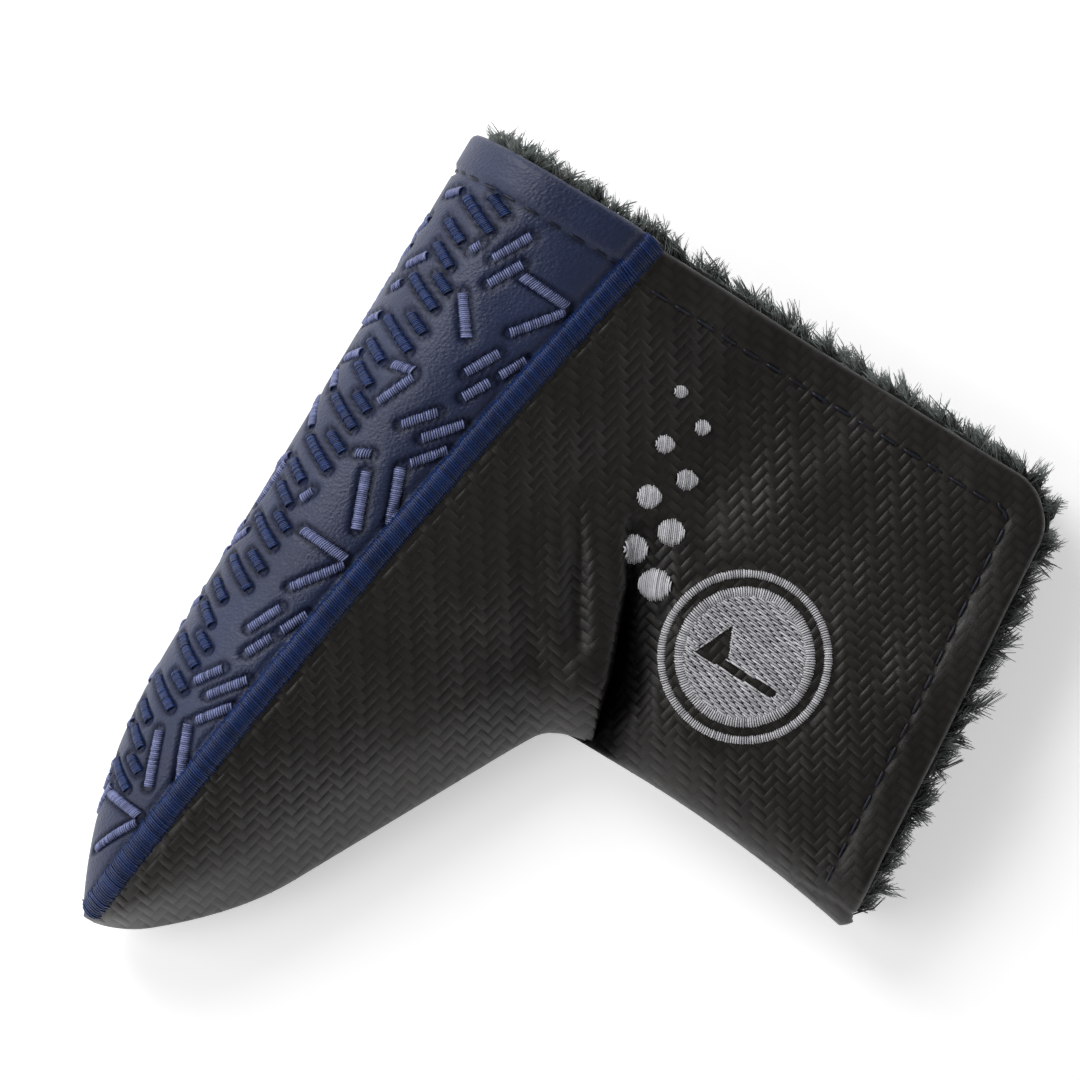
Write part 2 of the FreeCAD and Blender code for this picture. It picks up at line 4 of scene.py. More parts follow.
import bpy
import numpy as np
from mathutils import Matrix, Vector


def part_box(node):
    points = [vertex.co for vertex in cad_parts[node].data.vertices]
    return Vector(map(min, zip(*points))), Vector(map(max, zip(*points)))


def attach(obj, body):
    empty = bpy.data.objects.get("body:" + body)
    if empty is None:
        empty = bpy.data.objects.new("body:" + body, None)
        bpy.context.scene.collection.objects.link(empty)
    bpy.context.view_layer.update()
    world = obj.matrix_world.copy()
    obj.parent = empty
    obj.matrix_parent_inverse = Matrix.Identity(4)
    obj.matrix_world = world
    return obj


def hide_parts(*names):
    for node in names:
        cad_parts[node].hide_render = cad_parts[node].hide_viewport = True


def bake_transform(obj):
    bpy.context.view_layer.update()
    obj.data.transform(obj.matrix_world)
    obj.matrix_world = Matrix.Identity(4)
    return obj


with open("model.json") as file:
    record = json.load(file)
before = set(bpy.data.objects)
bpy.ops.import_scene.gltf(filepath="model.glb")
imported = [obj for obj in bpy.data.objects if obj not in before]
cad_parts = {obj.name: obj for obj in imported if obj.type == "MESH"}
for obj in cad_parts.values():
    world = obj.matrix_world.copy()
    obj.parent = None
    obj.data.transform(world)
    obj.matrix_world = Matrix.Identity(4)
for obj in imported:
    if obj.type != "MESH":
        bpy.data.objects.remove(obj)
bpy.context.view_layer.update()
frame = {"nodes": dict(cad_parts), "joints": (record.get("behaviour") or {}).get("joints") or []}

# The cover is worked out in millimetres in the row frame, and scaled when a mesh is made.
# It lies on its rear side: +X toe to heel, +Y neck opening to sole, +Z up from the floor.
MM = 0.001


def corners(node):
    low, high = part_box(node)
    return np.array(low) / MM, np.array(high) / MM


front_low, _ = corners("front_panel")
_, sole_high = corners("sole_panel")
badge_low, badge_high = corners("badge_ring")
hinge = frame["joints"][0]

TOE = front_low[0] - 0.3
SOLE = sole_high[1]
SEAM = front_low[2]
THICK = sole_high[2]
ROUND = THICK / 2
HEEL = sole_high[0] + 0.5
BADGE = (badge_low[:2] + badge_high[:2]) / 2
LEATHER = 1.2
TURNED_EDGE = 1.0        # how much thicker the leather is where its edge is turned under
FOAM = 2.5
FLEECE_BACKING = 2.5
CORNER = 8.0             # corner between the heel edge and the neck opening
HEM = 6.0                # from the open edge to its stitches
SOLE_HEM = 75.3          # X of the open edge of the sole leather
EDGE_ROUND = 11.5        # how far the front rounds down to the closed edge
TOE_CLOSING = 60.0       # length over which the toe fills out
SOLE_FALL = 50.0         # length over which the sole fold falls toward the toe
TOE_HOOK = 25.0          # length over which the blade edge hooks at the toe
TOE_ROUND = 4.5
BORDER_CENTRE = (-283.6, -1687.6)
BORDER_RADIUS = 1755.0
BORDER_HALF = 2.3
THREAD = 0.2
THREAD_PITCH = 0.43
STITCH_PITCH = 4.7
STITCH_LENGTH = 3.5


# ------------------------------------------------------------------ camera

MIDDLE = Vector((20.8, 20.6, 18.0)) * MM
VIEW_TURN = math.radians(-59.0)
VIEW_WIDTH = 0.1922
VIEW_DISTANCE = 1.2

lens = bpy.data.cameras.new("camera")
lens.sensor_width = 36.0
lens.lens = lens.sensor_width * VIEW_DISTANCE / VIEW_WIDTH
camera = bpy.data.objects.new("camera", lens)
camera.location = MIDDLE + Vector((0.0, 0.0, VIEW_DISTANCE))
camera.rotation_euler = (0.0, 0.0, VIEW_TURN)
bpy.context.scene.collection.objects.link(camera)
bpy.context.scene.camera = camera


# ------------------------------------------------------------ plan outline

def fullness(x):
    """How far the toe has filled out, from 0 at its tip to 1."""
    reach = np.clip((x - TOE) / TOE_CLOSING, 0.0, 1.0)
    return np.sqrt(1.0 - (1.0 - reach) ** 2)


def sole_line(x):
    """Y of the sole fold."""
    reach = np.clip((x - TOE) / SOLE_FALL, 0.0, 1.0)
    return SOLE - 11.5 * (1.0 - reach) ** 2.2


def blade_line(x):
    """Y of the closed edge along the blade, which hooks and then rounds at the toe."""
    hook = 1.0 - np.clip((x - TOE) / TOE_HOOK, 0.0, 1.0)
    corner = 1.0 - np.clip((x - TOE) / TOE_ROUND, 0.0, 1.0)
    rounded = TOE_ROUND * (1.0 - np.sqrt(1.0 - corner ** 2))
    return 30.0 - 0.53 * (np.minimum(x, 8.0) + 60.0) + 10.0 * hook ** 2 + rounded


def neck_side(y):
    """X of the closed edge along the neck, which flares toward the opening."""
    below = np.maximum(0.0, -15.0 - y) / 47.0
    return -6.5 - 4.5 * below ** 2


def border_line(x):
    """Y of the front border, a shallow arc."""
    return BORDER_CENTRE[1] + np.sqrt(BORDER_RADIUS ** 2 - (x - BORDER_CENTRE[0]) ** 2)


def heel_line(y):
    """X of the open edge at the heel."""
    return 75.6 - (110.0 - y) / 164.3 * 2.0


def mouth_line(x):
    """Y of the open edge at the neck opening."""
    return -54.3 - (73.6 - x) / 183.6 * 14.3


def closed_edge():
    """The closed edge of the outline: up the toe, along the blade, round the notch, down the neck."""
    tip = np.stack([np.full(3, TOE), np.linspace(57.0, blade_line(TOE) + 0.3, 3)], 1)
    hook = TOE + TOE_HOOK * np.linspace(0.05, 1.0, 40) ** 2
    blade = np.stack([hook, blade_line(hook)], 1)
    last = np.array([[-10.0, blade_line(-10.0)]])
    across = np.linspace(-4.0, -82.0, 24)
    neck = np.stack([neck_side(across), across], 1)
    pull = np.array([-6.4, 1.4])
    turn = np.linspace(0.0, 1.0, 15)[1:-1, None]
    bend = (1 - turn) ** 2 * last[0] + 2 * turn * (1 - turn) * pull + turn ** 2 * neck[0]
    before = len(tip) + len(blade) + 1 + len(bend) // 2
    return np.concatenate([tip, blade, last, bend, neck]), before


EDGE, NOTCH_AT = closed_edge()
NOTCH = EDGE[NOTCH_AT]


def inset_edge(inset):
    """The closed edge taken inward, as its blade part and its neck part, which meet at the notch."""
    along = np.gradient(EDGE, axis=0)
    along /= np.linalg.norm(along, axis=1, keepdims=True)
    moved = EDGE + inset * np.stack([-along[:, 1], along[:, 0]], 1)
    return moved[3:NOTCH_AT + 1], moved[NOTCH_AT:]


def path_distance(x, y, path):
    """Distance to a polyline, the side it lies on, and how far along it the nearest point is."""
    shape = np.shape(x)
    points = np.stack([np.ravel(x), np.ravel(y)], 1)
    steps = np.diff(path, axis=0)
    lengths = np.linalg.norm(steps, axis=1)
    before = np.concatenate([[0.0], np.cumsum(lengths)])
    best = np.full(len(points), 1e9)
    side = np.zeros(len(points))
    along = np.zeros(len(points))
    for start, step, length, behind in zip(path, steps, lengths, before):
        away = points - start
        part = np.clip(away @ step / length ** 2, 0.0, 1.0)
        gap = np.hypot(away[:, 0] - part * step[0], away[:, 1] - part * step[1])
        nearer = gap < best
        best = np.where(nearer, gap, best)
        side = np.where(nearer, np.sign(step[0] * away[:, 1] - step[1] * away[:, 0]), side)
        along = np.where(nearer, behind + part * length, along)
    return best.reshape(shape), side.reshape(shape), along.reshape(shape)


def rise(value, low, high):
    """Smooth step from 0 at low to 1 at high."""
    part = np.clip((value - low) / (high - low), 0.0, 1.0)
    return part * part * (3 - 2 * part)


def hem_distance(x, y):
    """Distance inward from the leather's edge at the heel and at the neck opening."""
    heelward = heel_line(y) - x
    neckward = y - mouth_line(x)
    corner = CORNER - np.hypot(CORNER - heelward, CORNER - neckward)
    inside = (heelward < CORNER) & (neckward < CORNER)
    return np.where(inside, corner, np.minimum(heelward, neckward))


# ------------------------------------------------------------- padded form

def ease(reach, slope):
    """A curve from 0 to 1 that leaves with a given slope and arrives level."""
    return slope * (reach - 2 * reach ** 2 + reach ** 3) + 3 * reach ** 2 - 2 * reach ** 3


def soft_max(a, b, width):
    near = np.maximum(width - np.abs(a - b), 0.0) / width
    return np.maximum(a, b) + near ** 2 * width / 4


def waves(x, y, length, seed, count=7):
    """Gentle uneven undulation between about -1 and 1."""
    draw = np.random.default_rng(seed)
    total = np.zeros(np.shape(x))
    for _ in range(count):
        turn, phase = draw.uniform(0, 2 * math.pi, 2)
        pitch = length * draw.uniform(0.7, 1.6)
        total = total + np.sin(2 * math.pi * (x * math.cos(turn) + y * math.sin(turn)) / pitch + phase)
    return total / math.sqrt(count * 2)


def sole_start(x):
    """Y where the level top turns into the round of the sole fold."""
    return sole_line(x) - ROUND * fullness(x)


def middle_height(x):
    return SEAM + (ROUND - SEAM) * fullness(x)


NECK_CROWN = 27.0        # height of the neck side at its crown
NECK_FALL = 4.5          # how much lower the crown is toward the opening
NECK_HEEL = 19.85        # height of the neck side at the heel
CROWN_AT = 24.0          # X of the crown
HEELWARD_AT = 52.0       # X where the neck side has come down to its height at the heel


def padded_height(x, y):
    """Height of the padded front over the plan, before its edges are rounded."""
    full = fullness(x)
    edge_top = SEAM * (1 + full)
    sole_top = SEAM + (THICK - SEAM) * full
    low = blade_line(x)
    reach = np.clip((y - low) / np.maximum(sole_start(x) - low, 1.0), 0.0, 1.0)
    blade = edge_top + (sole_top - edge_top) * ease(reach, 1.0)
    crown = NECK_CROWN - NECK_FALL * np.clip((34.0 - y) / 96.0, 0.0, 1.3)
    left = neck_side(y)
    toward = np.clip((x - left) / (CROWN_AT - left), 0.0, 1.0)
    rising = 2 * SEAM + (crown - 2 * SEAM) * ease(toward, 1.3)
    falling = crown + (NECK_HEEL - crown) * rise(x, CROWN_AT, HEELWARD_AT)
    neck = np.where(x < CROWN_AT, rising, falling)
    return soft_max(blade, np.where(x < NOTCH[0], 0.0, neck), 4.0)


# A crease or ridge: its path, how high it rises, and its width on its left and on its right.
FOLDS = (
    (((-15.0, -6.9), (-2.0, -3.6), (6.0, -1.8), (14.0, 0.8), (22.0, 3.6), (33.0, 9.5)), -9.5, 1.2, 6.2),
    (((-8.0, 0.4), (3.0, 3.0), (14.0, 7.0), (24.0, 11.0)), 1.6, 2.6, 2.6),
    (((0.0, -8.4), (9.0, -6.6), (19.0, -3.4), (28.0, 1.0)), -1.5, 1.8, 2.6),
    (((6.0, 3.6), (14.0, 8.6), (24.0, 14.4), (33.0, 21.0)), -1.9, 1.9, 1.1),
    (((4.0, 7.0), (13.0, 12.0), (23.0, 18.0), (31.0, 25.0)), 0.9, 2.4, 1.8),
    (((0.0, 9.0), (10.0, 18.0), (21.0, 27.0)), -0.9, 2.6, 1.5),
    (((-9.0, 6.0), (-4.0, 15.0), (1.0, 25.0)), -0.7, 2.2, 2.8),
    (((30.0, -7.0), (42.0, -1.0), (54.0, 9.0)), -0.8, 2.6, 3.6),
    (((63.0, 22.0), (61.0, 0.0), (62.0, -30.0)), -0.4, 3.2, 2.6),
)
CREASE = np.array(FOLDS[0][0])
OVERHANG = 3.2


def overhang(x, y):
    """How far the blade side of the main crease leans over the neck side."""
    gap, side, along = path_distance(x, y, CREASE)
    length = np.linalg.norm(np.diff(CREASE, axis=0), axis=1).sum()
    fade = (1.0 - along / length) ** 0.6 * rise(along, 0.0, 6.0)
    return OVERHANG * fade * np.where(side > 0, gap / 1.7 * np.exp(1.0 - gap / 1.7), 0.0)


def folds(x, y):
    total = np.zeros(np.shape(x))
    for path, height, left, right in FOLDS:
        path = np.array(path)
        gap, side, along = path_distance(x, y, path)
        length = np.linalg.norm(np.diff(path, axis=0), axis=1).sum()
        fade = (1.0 - along / length) ** 0.6 * rise(along, -1.0, 5.0)
        total = total + height * fade * np.exp(-(gap / np.where(side > 0, left, right)) ** 1.7)
    return total


def painted_crease_shade(x, y):
    """How deep a place lies in the folds, from 0 to 1, which paints shade into the front leather there."""
    return np.clip(-folds(x, y) / 4.5, 0.0, 1.0)


def stitched_down(x, y):
    """Where seams and embroidery pull the front leather in, and the turned hem thickens it."""
    hem = hem_distance(x, y)
    beside = np.where(heel_line(y) - x < y - mouth_line(x), y, x)
    dimple = 0.75 + 0.25 * np.cos(2 * math.pi * beside / STITCH_PITCH)
    total = 0.35 * (1.0 - rise(hem, 3.2, 6.4)) - 0.45 * dimple * np.exp(-((hem - HEM) / 0.6) ** 2)
    beside_border = np.abs(y - border_line(x)) - 2.6
    total -= 0.3 * np.exp(-(beside_border / 0.9) ** 2)
    away = np.hypot(x - BADGE[0], y - BADGE[1])
    total -= 0.3 * np.exp(-((away - 16.3) / 0.9) ** 2)
    return total - 0.25 * rise(-away, -15.6, -14.6)


def level_top(x, y, depth):
    """Height of the top before it turns round the sole fold, at a depth under its face."""
    gap, _, _ = path_distance(x, y, EDGE)
    reach = np.clip((gap - depth) / (EDGE_ROUND * fullness(x) + 0.3 - 0.4 * depth), 0.0, 1.0)
    rounded = np.sqrt(1.0 - (1.0 - reach) ** 2)
    relief = folds(x, y) + stitched_down(x, y) + 0.6 * waves(x, y, 28.0, 3) + 0.16 * waves(x, y, 11.0, 5)
    flat = np.maximum(padded_height(x, y) - depth - SEAM, 0.0)
    return SEAM + (flat + relief * rounded) * rounded


def level_bottom(x, y, depth):
    """Height of the rear face: flat where the cover rests, round toward the closed edges."""
    gap, _, _ = path_distance(x, y, EDGE)
    reach = np.clip((gap - depth) / (SEAM * fullness(x) + 0.3 - 0.2 * depth), 0.0, 1.0)
    return SEAM - np.maximum(SEAM * fullness(x) - depth, 0.0) * np.sqrt(1.0 - (1.0 - reach) ** 2)


def turned_over(x, y, depth, level):
    """Height of a level face, which turns down to the middle height round the sole fold."""
    start = sole_start(x)
    beyond = np.clip((y - start) / np.maximum(ROUND * fullness(x) - depth, 0.1), 0.0, 1.0)
    middle = middle_height(x)
    return middle + (level(x, np.minimum(y, start), depth) - middle) * np.sqrt(1.0 - beyond ** 2)


def front_point(x, y, depth=0.0):
    """A point of the front face over the plan, at a depth under it."""
    lean = overhang(x, y)
    z = turned_over(x, y, depth, level_top)
    return np.stack([x + 0.25 * lean, y - lean, z], -1)


def rear_point(x, y, depth=0.0):
    """The same for the rear face, which is grooved along its hem."""
    hem = hem_distance(x, y)
    groove = 0.5 * np.exp(-((hem - HEM) / 0.75) ** 2) + 0.3 * (hem > 0) * (1 - rise(hem, 0.0, 3.0))
    return np.stack([x, y, turned_over(x, y, depth, level_bottom) + groove], -1)


def sole_span(x):
    """Level run beside the border, the angle that the round starts at, and the whole arc."""
    radius = ROUND * fullness(x)
    start = sole_start(x)
    level = np.maximum(start - border_line(x), 0.0)
    first = np.arcsin(np.clip((border_line(x) - start) / np.maximum(radius, 0.1), 0.0, 0.98))
    return level, first, 2 * level + radius * (math.pi - 2 * first)


def sole_point(x, s, depth=0.0):
    """A point of the sole leather, s along it from the front border to the rear border."""
    radius = ROUND * fullness(x)
    inner = np.maximum(radius - depth, 0.25)
    level, first, whole = sole_span(x)
    turned = (s - level) / np.maximum(radius, 0.1) + first
    angle = np.clip(turned, 0.0, math.pi)
    start = sole_start(x)
    edge = border_line(x)
    y = np.where(s < level, edge + s, start + inner * np.sin(angle))
    y = np.where(turned > math.pi, start - (turned - math.pi) * radius, y)
    beside = np.minimum(y, start)
    middle = middle_height(x)
    top = level_top(x, beside, depth)
    bottom = level_bottom(x, beside, depth)
    front = np.where(s < level, 1.0, np.maximum(np.cos(angle), 0.0))
    rear = np.where(turned > math.pi, 1.0, np.maximum(-np.cos(angle), 0.0))
    z = middle + (top - middle) * front + (bottom - middle) * rear
    return np.stack([x, y, z], -1)


class Surface:
    """A face of the cover with two coordinates, whose threads and tufts stand on its normals."""

    def __init__(self, point, outward=1.0, dent=None):
        self.point = point
        self.outward = outward
        self.dent = dent

    def normals(self, u, v, depth=0.0, step=0.15):
        along = self.point(u + step, v, depth) - self.point(u - step, v, depth)
        across = self.point(u, v + step, depth) - self.point(u, v - step, depth)
        normal = np.cross(along, across) * self.outward
        return normal / np.maximum(np.linalg.norm(normal, axis=-1, keepdims=True), 1e-9)

    def place(self, u, v, lift=0.0, depth=0.0):
        """Points raised off the face by a distance, and the normals there."""
        normal = self.normals(u, v, depth)
        if self.dent is not None:
            lift = lift + self.dent(u, v)
        return self.point(u, v, depth) + normal * np.asarray(lift)[..., None], normal


# ------------------------------------------------------------ embroidery plan

STROKE = 1.9
CHEVRON = ((-4.8, -5.2, 3.4, -0.3), (3.4, 0.9, -4.8, 5.8))
BARS = ((-4.0, -5.4, -1.6, 5.4), (1.6, -5.4, 4.0, 5.4))
DASHES = ((-5.2, -3.8, 1.2, -3.8), (-2.0, 0.0, 5.2, 0.0), (-4.2, 3.8, 2.0, 3.8))
BROKEN = ((-6.0, -1.8, -1.0, -1.8), (1.0, -1.8, 6.0, -1.8), (-3.2, 2.0, 3.2, 2.0))
MOTIFS = (CHEVRON, BARS, DASHES, BROKEN)
NAVY_MOTIFS = (
    ((-4.8, -4.8, -1.5, 4.8), (-1.0, -4.8, 0.6, -0.2), (3.0, -1.6, 5.4, 4.8)),
    ((-4.8, -1.6, -2.6, 4.8), (-0.8, -4.8, 2.5, 4.8), (3.2, -4.8, 4.9, 0.2)),
)
MOTIF_COLUMNS = 9
MOTIF_ROWS = 6
MOTIF_START = (-60.0, 6.4)
MOTIF_STEP = (14.5, 12.4)
MOTIF_SHIFT = 4.8        # X from one row to the next, over three rows
MOTIF_END = 66.0         # X of the last motif at most
FILE_MOTIFS = 10
FILE_START = -50.0
FILE_STEP = 12.6
FILE_SHARE = 0.31        # place of the file across the sole leather, from the front border


def motif_strokes():
    """Ends of the light strokes over the sole leather, as x and distance from the front border."""
    for column in range(MOTIF_COLUMNS):
        for row in range(MOTIF_ROWS):
            x = MOTIF_START[0] + MOTIF_STEP[0] * column + MOTIF_SHIFT * (row % 3)
            s = MOTIF_START[1] + MOTIF_STEP[1] * row
            _, _, whole = sole_span(np.array(x))
            if s > whole - 4.0 or x > MOTIF_END:
                continue
            turn = math.radians(-62.0 + 14.0 * ((column * 5 + row * 3) % 4))
            for x1, y1, x2, y2 in MOTIFS[(column + row * 2) % len(MOTIFS)]:
                yield (
                    x + x1 * math.cos(turn) - y1 * math.sin(turn),
                    s + x1 * math.sin(turn) + y1 * math.cos(turn),
                    x + x2 * math.cos(turn) - y2 * math.sin(turn),
                    s + x2 * math.sin(turn) + y2 * math.cos(turn))


def file_strokes():
    """Ends of the navy strokes: long and short slanting ones, in one file along the sole fold."""
    for index in range(FILE_MOTIFS):
        x = FILE_START + FILE_STEP * index
        _, _, whole = sole_span(np.array(x))
        s = float(whole) * FILE_SHARE
        for x1, y1, x2, y2 in NAVY_MOTIFS[index % 2]:
            yield x + x1, s + y1, x + x2, s + y2


navy_strokes = np.array(list(file_strokes()))


def segment_distance(u, v, stroke):
    """Distance to a straight stroke, given by its two ends."""
    x1, y1, x2, y2 = stroke
    step = np.array([x2 - x1, y2 - y1])
    part = np.clip(((u - x1) * step[0] + (v - y1) * step[1]) / (step @ step), 0.0, 1.0)
    return np.hypot(u - x1 - part * step[0], v - y1 - part * step[1])


def clear_strokes():
    """The light strokes that keep off the navy file, cut where they would leave the leather."""
    kept = []
    for stroke in motif_strokes():
        part = np.linspace(0.0, 1.0, 25)
        x = stroke[0] + part * (stroke[2] - stroke[0])
        s = stroke[1] + part * (stroke[3] - stroke[1])
        _, _, whole = sole_span(x)
        free = (s > 0.6) & (s < whole - 0.6) & (x < 67.6) & (x > TOE + 5.0)
        for navy in navy_strokes:
            free &= segment_distance(x, s, navy) > STROKE + 0.5
        runs = np.flatnonzero(free)
        if len(runs) > 8:
            runs = max(np.split(runs, np.flatnonzero(np.diff(runs) > 1) + 1), key=len)
        if len(runs) > 8:
            first, last = runs[0], runs[-1]
            kept.append((x[first], s[first], x[last], s[last]))
    return np.array(kept)


light_strokes = clear_strokes()


def stroke_gap(x, s):
    """Distance to the middle line of the nearest stroke, or 9 where none is near."""
    gap = np.full(np.shape(x), 9.0)
    for stroke in np.concatenate([light_strokes, navy_strokes]):
        middle_x, middle_s = (stroke[:2] + stroke[2:]) / 2
        near = (np.abs(x - middle_x) < 9) & (np.abs(s - middle_s) < 9)
        if near.any():
            gap[near] = np.minimum(gap[near], segment_distance(x[near], s[near], stroke))
    return gap


def painted_stroke_shade(x, s):
    """Painted shade beside a stroke, where the thread pulls the leather in, from 0 to 1."""
    return np.exp(-((stroke_gap(x, s) - STROKE / 2 - 0.2) / 0.45) ** 2)


def sole_dent(x, s):
    """How the sole leather sinks round each stroke, at the borders and along its hem."""
    total = -0.5 * (1.0 - rise(stroke_gap(x, s), STROKE / 2, STROKE / 2 + 0.9))
    _, _, whole = sole_span(x)
    total -= 0.4 * np.exp(-(np.abs(np.minimum(s, whole - s) - 2.5) / 0.7) ** 2)
    hem = SOLE_HEM - x
    total += 0.45 * (1.0 - rise(hem, 5.2, 6.4)) - 0.7 * np.exp(-((hem - HEM) / 0.7) ** 2)
    return total


FRONT = Surface(front_point)
REAR = Surface(rear_point, -1.0)
SOLE_FACE = Surface(sole_point, 1.0, sole_dent)


# ------------------------------------------------------------ mesh helpers

def make_piece(name, vertices, quads, material, uv=None, values=()):
    """A smooth mesh of quads, with its plan coordinates and any named numbers at its points."""
    mesh = bpy.data.meshes.new(name)
    mesh.vertices.add(len(vertices))
    mesh.vertices.foreach_set("co", (np.asarray(vertices) * MM).ravel())
    mesh.loops.add(quads.size)
    mesh.loops.foreach_set("vertex_index", quads.ravel().astype(np.int32))
    mesh.polygons.add(len(quads))
    mesh.polygons.foreach_set("loop_start", np.arange(0, quads.size, 4, dtype=np.int32))
    mesh.update(calc_edges=True)
    mesh.polygons.foreach_set("use_smooth", np.ones(len(quads), bool))
    if uv is not None:
        layer = mesh.uv_layers.new(name="plan")
        layer.data.foreach_set("uv", np.asarray(uv, np.float32)[quads.ravel()].ravel())
    for label, numbers in values:
        mesh.attributes.new(label, "FLOAT", "POINT").data.foreach_set(
            "value", np.asarray(numbers, np.float32).ravel())
    mesh.materials.append(material)
    piece = bpy.data.objects.new(name, mesh)
    bpy.context.scene.collection.objects.link(piece)
    return piece


def sheet_quads(patches):
    """One numbering for several grids, with points that share a place counted once."""
    plan = np.concatenate([np.stack([u, v], -1).reshape(-1, 2) for u, v in patches])
    _, first, index = np.unique(np.round(plan, 4), axis=0, return_index=True, return_inverse=True)
    index = index.ravel()
    quads, offset = [], 0
    for u, _ in patches:
        grid = index[offset:offset + u.size].reshape(u.shape)
        offset += u.size
        around = [grid[:-1, :-1], grid[:-1, 1:], grid[1:, 1:], grid[1:, :-1]]
        quads.append(np.stack(around, -1).reshape(-1, 4))
    return plan[first], first, np.concatenate(quads)


def rim_loop(quads):
    """The boundary of a sheet of quads as closed rows of points, in order."""
    edges = np.concatenate([quads[:, [side, (side + 1) % 4]] for side in range(4)])
    known = set(map(tuple, edges.tolist()))
    following = {a: b for a, b in known if (b, a) not in known and a != b}
    loops = []
    while following:
        start, point = following.popitem()
        loop = [start]
        while point != start:
            loop.append(point)
            point = following.pop(point)
        loops.append(np.array(loop))
    return loops


def slab(name, surface, outer, inner, material, lip=None, values=()):
    """A closed layer between two depths of a face, with a rounded lip where lip is not zero.

    outer and inner are the same grids of coordinates at the two depths: (grids, depth) each.
    values are names of numbers at the points, each with the rule that gives it over the plan."""
    (outer_grids, outer_depth), (inner_grids, inner_depth) = outer, inner
    plan, first, quads = sheet_quads(outer_grids)
    if surface.outward < 0:
        quads = quads[:, ::-1]
    inner_plan = np.concatenate([np.stack([u, v], -1).reshape(-1, 2) for u, v in inner_grids])[first]
    if surface.dent is None:
        top = surface.point(plan[:, 0], plan[:, 1], outer_depth)
    else:
        top, _ = surface.place(plan[:, 0], plan[:, 1], np.zeros(len(plan)), outer_depth)
    depth = inner_depth(*inner_plan.T) if callable(inner_depth) else inner_depth
    bottom = surface.point(inner_plan[:, 0], inner_plan[:, 1], depth)
    count = len(plan)
    vertices, faces, uv = [top, bottom], [quads, quads[:, ::-1] + count], [plan, inner_plan]
    used = 2 * count
    for loop in rim_loop(quads):
        bulge = lip(*plan[loop].T) if lip is not None else np.zeros(len(loop))
        rows = 5 if bulge.any() else 0
        centre = (top[loop] + bottom[loop]) / 2
        half = (top[loop] - bottom[loop]) / 2
        thick = np.linalg.norm(half, axis=1, keepdims=True)
        tangent = np.roll(centre, -1, axis=0) - np.roll(centre, 1, axis=0)
        outward = np.cross(tangent, half)
        outward /= np.maximum(np.linalg.norm(outward, axis=1, keepdims=True), 1e-9)
        ring = [loop]
        for row in range(rows):
            turn = math.pi * (row + 1) / (rows + 1)
            vertices.append(centre + half * math.cos(turn)
                            + outward * thick * (bulge[:, None] * math.sin(turn)))
            uv.append(plan[loop] + outward[:, :2] * (thick * turn))
            ring.append(used + np.arange(len(loop)))
            used += len(loop)
        ring.append(loop + count)
        for near, far in zip(ring, ring[1:]):
            faces.append(np.stack([np.roll(near, -1), near, far, np.roll(far, -1)], 1))
    plan_all = np.concatenate(uv)
    numbers = [(label, rule(*plan_all.T)) for label, rule in values]
    return make_piece(name, np.concatenate(vertices), np.concatenate(faces), material, plan_all, numbers)


def tube_mesh(paths, radii, ups, sides=4):
    """Round threads along many paths at once, closed at both ends."""
    paths = np.asarray(paths, float)
    count, points, _ = paths.shape
    radii = np.broadcast_to(np.asarray(radii, float), (count, points))
    tangent = np.gradient(paths, axis=1)
    tangent /= np.maximum(np.linalg.norm(tangent, axis=2, keepdims=True), 1e-9)
    side = np.cross(tangent, np.broadcast_to(ups, paths.shape))
    side /= np.maximum(np.linalg.norm(side, axis=2, keepdims=True), 1e-9)
    above = np.cross(side, tangent)
    angle = (np.arange(sides) + 0.5) * 2 * math.pi / sides
    around = side[:, :, None] * np.cos(angle)[:, None] + above[:, :, None] * np.sin(angle)[:, None]
    vertices = (paths[:, :, None] + around * radii[:, :, None, None]).reshape(-1, 3)
    index = np.arange(count * points * sides).reshape(count, points, sides)
    following = np.roll(index, -1, axis=2)
    wall = np.stack([index[:, :-1], following[:, :-1], following[:, 1:], index[:, 1:]], -1)
    caps = np.concatenate([index[:, 0, ::-1], index[:, -1]])
    return vertices, np.concatenate([wall.reshape(-1, 4), caps])


def thread_piece(name, strands, material):
    """One piece of many threads, given as (paths, radii, ups)."""
    vertices, quads, shades, used = [], [], [], 0
    draw = np.random.default_rng(7)
    for paths, radii, ups in strands:
        points, faces = tube_mesh(paths, radii, ups)
        vertices.append(points)
        quads.append(faces + used)
        shades.append(np.repeat(draw.random(len(paths)), len(points) // len(paths)))
        used += len(points)
    return make_piece(name, np.concatenate(vertices), np.concatenate(quads), material, None,
                      (("thread", np.concatenate(shades)),))


# ------------------------------------------------------------ materials

def srgb(red, green, blue):
    levels = [value / 255 for value in (red, green, blue)]
    return tuple(v / 12.92 if v <= 0.04045 else ((v + 0.055) / 1.055) ** 2.4 for v in levels)


class Field:
    """A number worked out by shader nodes, written as ordinary arithmetic."""

    def __init__(self, tree, socket):
        self.tree = tree
        self.socket = socket

    def math(self, operation, *others):
        node = self.tree.nodes.new("ShaderNodeMath")
        node.operation = operation
        self.tree.links.new(self.socket, node.inputs[0])
        for place, other in enumerate(others, start=1):
            if isinstance(other, Field):
                self.tree.links.new(other.socket, node.inputs[place])
            else:
                node.inputs[place].default_value = other
        return Field(self.tree, node.outputs[0])

    def __add__(self, other):
        return self.math("ADD", other)

    def __sub__(self, other):
        return self.math("SUBTRACT", other)

    def __mul__(self, other):
        return self.math("MULTIPLY", other)


